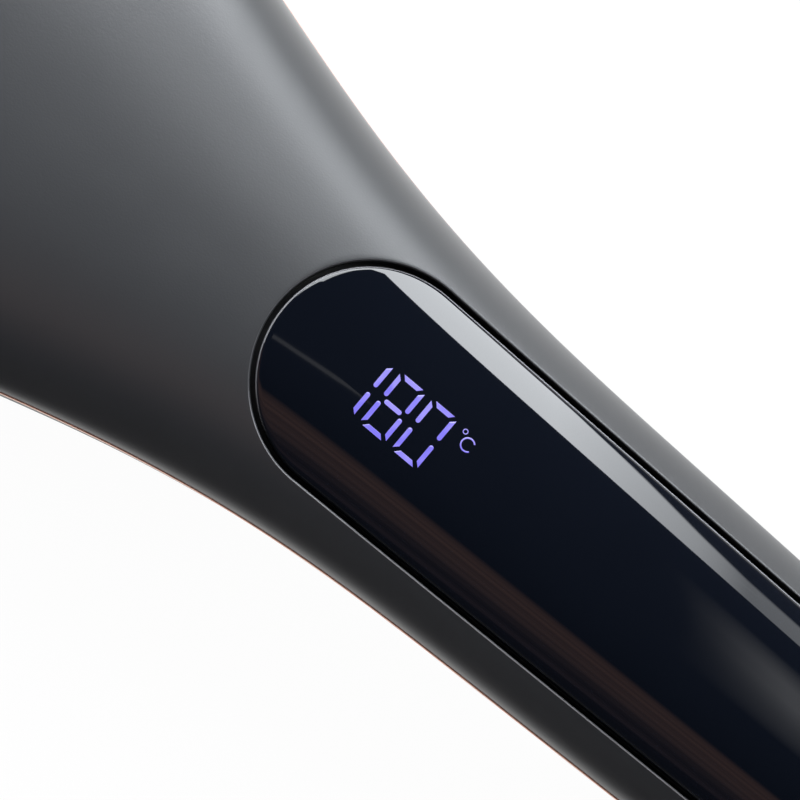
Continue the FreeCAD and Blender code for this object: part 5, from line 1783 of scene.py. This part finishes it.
@dataclass(frozen=True)
class ToothField:
    """Heated teeth with their cool caps, and the ring of nylon pins."""

    columns: int = 11
    rows: int = 5
    tooth_pitch: float = 7.5 * MM
    row_pitch: float = 9.2 * MM
    length: float = 4.6 * MM
    width: float = 2.0 * MM
    cap_wall: float = 0.5 * MM
    cap_height: float = 7.0 * MM
    cap_bevel: float = 0.15 * MM
    cap_nose: float = 0.8
    socket: float = 2.0 * MM
    pin_tip: float = 0.55 * MM
    pin_root: float = 1.0 * MM
    pin_head: float = 1.7 * MM
    pin_flange: float = 0.8 * MM
    pin_nose: float = 0.9
    pin_waist: tuple[float, float] = (4.0 * MM, 0.85 * MM)
    pin_taper: float = 8.0 * MM
    pin_room: float = 3.0 * MM

    def build(self) -> None:
        """Makes the teeth, their caps and the pins."""
        middle = middle_of("heating_plate").x
        x = middle + (np.arange(self.columns) - (self.columns - 1) / 2) * self.tooth_pitch
        y = (np.arange(self.rows) - (self.rows - 1) / 2) * self.row_pitch
        places = np.array([(a, b, 0.0) for b in y for a in x])
        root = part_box("heated_teeth")[1].z
        top, start, half = self.cap_height, self.cap_height - self.socket, self.width / 2
        tooth = self._bar([(start, -half), (start, 0.0), (root, 0.0), (root, -half)], half)
        self._field("teeth_heated", PLATE, tooth, places, "heat_alloy", "heated_teeth")
        radius, wall, bevel = half + self.cap_wall, self.cap_wall, self.cap_bevel
        nose = [(radius * self.cap_nose * (1 - math.sin(turn)), -radius * (1 - math.cos(turn)))
                for turn in sweep(90, 0, 5)]
        profile = [(0.0, -radius), *nose, (top - bevel, 0.0), (top, -bevel), (top, -wall),
                   (start, -wall), (start, -radius)]
        cap = self._bar(profile, radius)
        self._field("caps_cool", CAPS, cap, places, "cap_plastic", "tooth_caps")
        self._pins()

    def _bar(self, profile: Profile, radius: float) -> np.ndarray:
        """A rounded bar's grid: each (height, offset) is its outline grown by the offset.

        The outline is two half circles at the ends of the tooth's own straight part.

        Args:
            profile: the (height, offset) pairs.
            radius: the radius of the half circles at no offset.

        Returns:
            A grid of shape (profile points, 20, 3).
        """
        reach = (self.length - self.width) / 2
        angle = np.linspace(0, 2 * np.pi, 20, endpoint=False) + np.pi / 20
        shift = np.where(np.cos(angle) > 0, reach, -reach)
        rows = []
        for height, offset in profile:
            size = max(radius + offset, 0.0)
            x, y = shift + size * np.cos(angle), size * np.sin(angle)
            rows.append(np.stack([x, y, np.full(angle.size, height)], -1))
        return np.array(rows)

    @staticmethod
    def _field(name: str, finish: Finish, grid: np.ndarray, places: np.ndarray, slot: str,
               node: str) -> None:
        """Copies of one closed grid at several places, as a piece.

        Args:
            name: the piece's name.
            finish: its finish.
            grid: one copy's surface.
            places: each copy's offset.
            slot: its slot's name.
            node: the CAD node that it stands for.
        """
        sheets = Sheets()
        for place in places:
            sheets.grid(grid + place, wrap_columns=True)
        ride(sheets.piece(name, finish, ROUND_DEGREES), "housing", slot, node)

    def _pins(self) -> None:
        """Round-ended pins at the places of the frame's holes, read from the CAD pins."""
        spots = points_of(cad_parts["nylon_bristles"].data)
        low, high = spots[:, 2].min(), spots[:, 2].max()
        slight = 0.01 * MM
        tips = spots[spots[:, 2] < low + slight]
        centres = group_centres(tips[:, :2].astype(float), self.pin_room)
        tip, root, head = self.pin_tip, self.pin_root, self.pin_head
        nose = [(tip * (1 - math.cos(turn)) * self.pin_nose, tip * math.sin(turn))
                for turn in sweep(0, 90, 4)]
        under = high - self.pin_flange
        profile = nose + [self.pin_waist, (self.pin_taper, root), (under, root), (under, head),
                          (high, head), (high, 0)]
        places = raised(centres, 0.0)
        self._field("pins_nylon", NYLON, lathe(profile, (0, 0, 0), turns=16), places,
                    "bristle_nylon", "nylon_bristles")


def group_centres(points: np.ndarray, spread: float) -> np.ndarray:
    """Middles of clusters of plan points that lie close together.

    Args:
        points: the plan points.
        spread: how wide a cluster may be.

    Returns:
        One middle for each cluster.
    """
    centres: list[np.ndarray] = []
    left = points
    while len(left):
        near = np.linalg.norm(left - left[0], axis=1) < spread
        centres.append((left[near].min(0) + left[near].max(0)) / 2)
        left = left[~near]
    return np.array(centres)


@dataclass(frozen=True)
class Swivel:
    """The cord's turning bush and the collar round it."""

    centre: Spot
    reach: float = 12.8 * MM
    knob: float = 6.0 * MM
    neck: float = 4.5 * MM
    bore: float = 3.6 * MM
    bore_depth: float = 12.0 * MM
    collar: float = 2.5 * MM
    collar_radius: float = 7.4 * MM
    collar_draft: float = 0.3 * MM
    play: float = 0.1 * MM
    wall: float = 2.0 * MM
    flange: float = 6.2 * MM
    flange_thickness: float = 2.4 * MM
    stub: float = 4.0 * MM
    stub_length: float = 8.0 * MM
    groove_start: float = 3.4 * MM
    groove_width: float = 1.8 * MM
    groove_slope: float = 0.4 * MM
    groove_depth: float = 0.35 * MM
    nose_length: float = 1.2 * MM
    nose_drop: float = 1.4 * MM
    bush_round: float = 0.3 * MM
    collar_round: float = 0.5 * MM

    def build(self) -> None:
        """Makes the bush and the collar as turned pieces with softened edges."""
        inner = -self.wall - self.play
        back = inner - self.flange_thickness
        start = self.collar + 2 * self.play
        floor, knob = self.reach - self.bore_depth, self.knob
        groove, end = start + self.groove_start, start + self.groove_start + self.groove_width
        low = knob - self.groove_depth
        profile = [(back - self.stub_length, 0), (back - self.stub_length, self.stub),
                   (back, self.stub), (back, self.flange), (inner, self.flange),
                   (inner, self.neck), (start, self.neck), (start, knob), (groove, knob),
                   (groove + self.groove_slope, low), (end - self.groove_slope, low),
                   (end, knob), (self.reach - self.nose_length, knob),
                   (self.reach, knob - self.nose_drop),
                   (self.reach, self.bore), (floor, self.bore), (floor, 0)]
        bush = lathe(rounded(profile, self.bush_round), self.centre, "X")
        piece = solid("swivel_knob", SHELL_DARK, bush, wrap_columns=True)
        ride(piece, "cord_swivel", "casing_grey", "swivel_bush")
        hole = self.neck + self.play
        ring = [(0, hole), (0, self.collar_radius),
                (self.collar, self.collar_radius - self.collar_draft), (self.collar, hole)]
        collar = lathe(rounded(ring, self.collar_round, 5, closed=True), self.centre, "X")
        piece = solid("collar_ring", ROSE, collar, wrap_rows=True, wrap_columns=True)
        ride(piece, "housing", "rose_gold", "end_collar")


# ---------------------------------------------------------------------------------------------
# Studio
# ---------------------------------------------------------------------------------------------
def stand(thing: bpy.types.Object, spot: Sequence[float], right: Vector, up: Vector,
          back: Vector) -> None:
    """Puts a lamp or camera at a spot, turned to its three axes.

    Args:
        thing: the lamp or camera.
        spot: its place.
        right: its X axis.
        up: its Y axis.
        back: its Z axis.
    """
    turned = Matrix((right, up, back)).transposed().to_4x4()
    thing.matrix_world = Matrix.Translation(spot) @ turned
    link(thing)


@dataclass(frozen=True)
class Softbox:
    """A rectangular lamp that faces its aim, its first side along long_way.

    It may fade: along holds (share, strength) stops from its +X end, across the same over its
    short side, and foot the (share, height) stops of the line where its light begins.
    """

    name: str
    spot: Spot
    size: tuple[float, float]
    watts: float
    aim: Spot
    tint: Colour = WHITE
    mirrored: bool = True
    long_way: Spot = (-1.0, 0.0, 0.0)
    along: Profile = ()
    across: Profile = ((0.0, 1.0),)
    foot: Profile = ((0.0, -0.1),)
    foot_slope: float = 12.0

    def build(self) -> None:
        """Makes the lamp."""
        data = bpy.data.lights.new(self.name, "AREA")
        data.shape, data.color, data.energy = "RECTANGLE", self.tint, self.watts
        data.size, data.size_y = self.size
        lamp = bpy.data.objects.new(self.name, data)
        lamp.visible_glossy = self.mirrored
        back = (Vector(self.spot) - Vector(self.aim)).normalized()
        up = back.cross(Vector(self.long_way)).normalized()
        stand(lamp, self.spot, up.cross(back), up, back)
        if self.along:
            self._fade(data)

    def _fade(self, data: bpy.types.Light) -> None:
        """Dims the lamp along its two sides, and darkens it below its foot's line.

        Args:
            data: the lamp's data.
        """
        data.use_nodes = True
        graph = Graph(data.node_tree)
        place = graph.node("ShaderNodeNewGeometry", None, None, "Parametric")
        share, height = graph.axis("X", place), graph.axis("Y", place)
        along, across, foot = (
            graph.ramp(factor, [(spot, (level,) * 3) for spot, level in stops])
            for factor, stops in ((share, self.along), (height, self.across), (share, self.foot)))
        glow = graph.node("ShaderNodeMix", {"data_type": "RGBA", "blend_type": "MULTIPLY"},
                          {"Factor": 1.0, 6: along, 7: across}, 2)
        above = (self.foot_slope * (height - foot) + 0.5).clamped()
        glow = graph.blend(above, BLACK, glow)
        graph.node("ShaderNodeOutputLight", None, {"Surface": graph.glow(glow)})


LAMPS = (
    Softbox("side_box", (-0.25, 0.45, 0.236), (1.3, 0.245), 12.2, (-0.25, 0.0, 0.04), COOL,
            along=((0.0, 0.12), (0.246, 0.18), (0.2525, 0.42), (0.267, 0.71), (0.277, 0.97),
                   (0.29, 1.0)),
            foot=((0.0, 0.6), (0.246, 0.5), (0.2541, 0.40), (0.2612, 0.24), (0.2677, 0.157),
                  (0.2742, 0.0))),
    Softbox("head_box", (-0.42, 0.55, 0.72), (0.72, 0.5), 10.0, (-0.1, 0.0, 0.03), COOL),
    Softbox("tip_box", (-0.75, 0.05, 0.33), (0.8, 0.34), 5.0, (0.0, 0.0, 0.03), COOL,
            long_way=(0.0, 1.0, 0.0)),
    Softbox("sky_box", (0.0, 0.15, 1.2), (1.0, 1.0), 4.0, (0.0, 0.15, 0.0), mirrored=False),
    Softbox("streak_strip", (-0.011, -0.084, 1.5), (0.135, 0.010), 0.0022,
            (-0.011, -0.084, 0.0), long_way=(0.029, 0.13, 0.0)),
    Softbox("tail_card", (0.30, 0.34, 1.0), (0.44, 0.7), 0.95, (0.30, 0.34, 0.0),
            along=((0.0, 1.0), (0.92, 1.0), (0.9636, 0.25), (0.985, 0.0)),
            across=((0.0, 0.0), (0.4, 1.0), (0.6, 1.0), (1.0, 0.0))),
)


@dataclass(frozen=True)
class Studio:
    """Floor, light and camera."""

    target: Spot
    distance: float = 1.15
    tilt: float = 5.5
    roll: float = 40.1
    pixels_per_metre: float = 9040.0
    image: float = 800.0
    target_pixel: tuple[float, float] = (408.6, 411.7)
    floor_z: float = -0.2 * MM
    floor_reach: float = 3.0
    floor_white: float = 0.97
    # Shape of the floor's painted dark and bright reflections, which glossy rays alone see.
    dark_reflection_share: float = 0.92
    dark_reflection_lean: float = 0.09
    bright_reflection_start: float = 25.0 * MM
    bright_reflection_glow: float = 2.0
    bright_reflection_share: float = 0.7
    bright_reflection_fade: float = 15.0
    dark_reflection_shift: float = 1.87
    edge_slope: float = 60.0

    def build(self) -> None:
        """Makes the floor, the world, the lamps and the camera."""
        bpy.context.scene.view_settings.view_transform = "Standard"
        self._floor()
        self._world()
        for lamp in LAMPS:
            lamp.build()
        self._camera()

    def _floor(self) -> None:
        """A pale sheet that camera, mirror and glass see as nearly white, and none from below.

        Glossy rays alone find a painted bright reflection on it beside the head, which fades
        towards the grip, and a painted dark reflection beside the casing's other edge, from y =
        lean x - shift / slope outwards. Both come up from nothing to full over 1 / slope metres.
        """
        sheets = Sheets()
        side = np.linspace(-self.floor_reach, self.floor_reach, 2)
        x, y = np.meshgrid(side, side)
        sheets.grid(np.stack([x, y, np.full_like(x, self.floor_z)], -1))
        material = bpy.data.materials.new("pale_floor")
        material.use_nodes = True
        graph = Graph(material.node_tree)
        camera, glossy, through = (graph.node("ShaderNodeLightPath", None, None, f"Is {ray} Ray")
                                   for ray in ("Camera", "Glossy", "Transmission"))
        grey = graph.blend(graph.noise(9.0), (0.86, 0.86, 0.86), (0.90, 0.90, 0.90))
        paper = graph.node("ShaderNodeBsdfDiffuse", None, {"Color": grey})
        seen = (camera + glossy + through).clamped()
        paper = graph.over(self.floor_white * seen, paper, graph.glow(WHITE))
        across, along = graph.axis("Y"), graph.axis("X")
        # Painted bright reflection: a glowing patch that glossy rays alone see.
        painted_bright_reflection = (self.edge_slope * across - self.edge_slope * self.bright_reflection_start).clamped()
        painted_bright_reflection = painted_bright_reflection * (self.bright_reflection_share - self.bright_reflection_fade * along).clamped()
        paper = graph.over(glossy * painted_bright_reflection, paper, graph.glow(WHITE, self.bright_reflection_glow))
        # Painted dark reflection: a black patch that glossy rays alone see.
        lean = self.edge_slope * self.dark_reflection_lean
        painted_dark_reflection = (-self.edge_slope * across + lean * along - self.dark_reflection_shift).clamped()
        painted_dark_reflection = painted_dark_reflection * self.dark_reflection_share
        black = graph.node("ShaderNodeBsdfDiffuse", None, {"Color": (0.01, 0.01, 0.012)})
        paper = graph.over(glossy * painted_dark_reflection, paper, black)
        below = graph.node("ShaderNodeNewGeometry", None, None, "Backfacing")
        paper = graph.over(below, paper, graph.node("ShaderNodeBsdfTransparent"))
        graph.node("ShaderNodeOutputMaterial", None, {"Surface": paper})
        mesh = sheets.mesh("pale_floor")
        mesh.materials.append(material)
        floor = link(bpy.data.objects.new("pale_floor", mesh))

    def _world(self) -> None:
        """White to the camera; to everything else a dim room, warm on the -Y side."""
        world = bpy.data.worlds.new("studio")
        bpy.context.scene.world = world
        world.use_nodes = True
        graph = Graph(world.node_tree)
        way = graph.node("ShaderNodeTexCoord", None, None, "Generated")
        height, across = graph.axis("Z", way), graph.axis("Y", way)
        dark = (0.016, 0.026, 0.046)
        cool = graph.ramp(height, [(0.0, (0.16, 0.16, 0.17)), (0.2, (0.07, 0.08, 0.11)),
                                   (0.7, dark)])
        warm = graph.ramp(height, [(0.0, (0.12, 0.12, 0.13)), (0.38, (0.05, 0.05, 0.07)),
                                   (0.50, (0.20, 0.15, 0.18)), (0.64, (0.33, 0.23, 0.23)),
                                   (0.78, (0.66, 0.39, 0.32)), (0.85, (1.00, 0.56, 0.42)),
                                   (0.885, dark)])
        streak = graph.noise(3.2, 3.0, graph.stretched((0.4, 2.0, 6.0), way))
        mottled = graph.blend((2.2 * streak - 0.6).clamped(), dark, warm)
        room = graph.blend((-6.0 * across - 1.8).clamped(), cool, mottled)
        seen = graph.node("ShaderNodeLightPath", None, None, "Is Camera Ray")
        colour = graph.blend(seen, room, WHITE)
        light = graph.node("ShaderNodeBackground", None, {"Color": colour, "Strength": 1.0})
        graph.node("ShaderNodeOutputWorld", None, {"Surface": light})

    def _camera(self) -> None:
        """A long lens over the display, tilted a little to the -Y side and rolled."""
        data = bpy.data.cameras.new("camera")
        middle, scale = self.image / 2, self.pixels_per_metre
        data.sensor_width = 36.0
        data.lens = data.sensor_width / 2 * self.distance / (middle / scale)
        data.clip_start, data.clip_end = 0.01, 20.0
        tilt, roll = math.radians(self.tilt), math.radians(self.roll)
        along, across = Vector((1, 0, 0)), Vector((0, math.cos(tilt), math.sin(tilt)))
        right = along * math.cos(roll) + across * math.sin(roll)
        up = across * math.cos(roll) - along * math.sin(roll)
        back = right.cross(up)
        pixel_x, pixel_y = self.target_pixel
        aim = Vector(self.target) + right * ((middle - pixel_x) / scale)
        aim += up * ((pixel_y - middle) / scale)
        camera = bpy.data.objects.new("camera", data)
        stand(camera, aim + back * self.distance, right, up, back)
        bpy.context.scene.camera = camera


def dress(nodes: dict[str, Finish]) -> None:
    """Gives the CAD nodes that stay in view their finishes.

    Args:
        nodes: a finish for each node's name.
    """
    for name, finish in nodes.items():
        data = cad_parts[name].data
        data.materials.clear()
        data.materials.append(finish.material())
        LOG.info("%s: dressed in %s", name, finish.name)


def main() -> None:
    """Builds and dresses the brush, and sets up its studio."""
    logging.basicConfig(level=logging.INFO, format="%(name)s %(message)s")
    display = middle_of("display_module").x
    band_low, band_high = (corner.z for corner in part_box("trim_band"))
    casing = Casing(display, band_high, band_low)
    tank_low, tank_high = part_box("tank_shell")
    BackShell(casing, PanelOutline(display), tank_high.x + FIT_GAP, tank_low.z - FIT_GAP).build()
    keys = tuple(middle_of(f"{symbol.value}_button").x for symbol in Symbol)
    DisplayPanel.on(casing, keys).build()
    Keys().build()
    TrimBand(casing).build()
    frame_low, frame_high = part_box("bristle_frame")
    ledge = 1.6 * MM
    FrontShell(casing, frame_low.z, frame_high.x + FIT_GAP, frame_high.z + ledge).build()
    WaterTank(casing, tank_high.x, tank_low.z).build()
    ToothField().build()
    Swivel(casing.tail).build()
    dress(NODE_FINISHES)
    Studio((display, 0.0, casing.crown)).build()


if __name__ == "__main__":
    main()
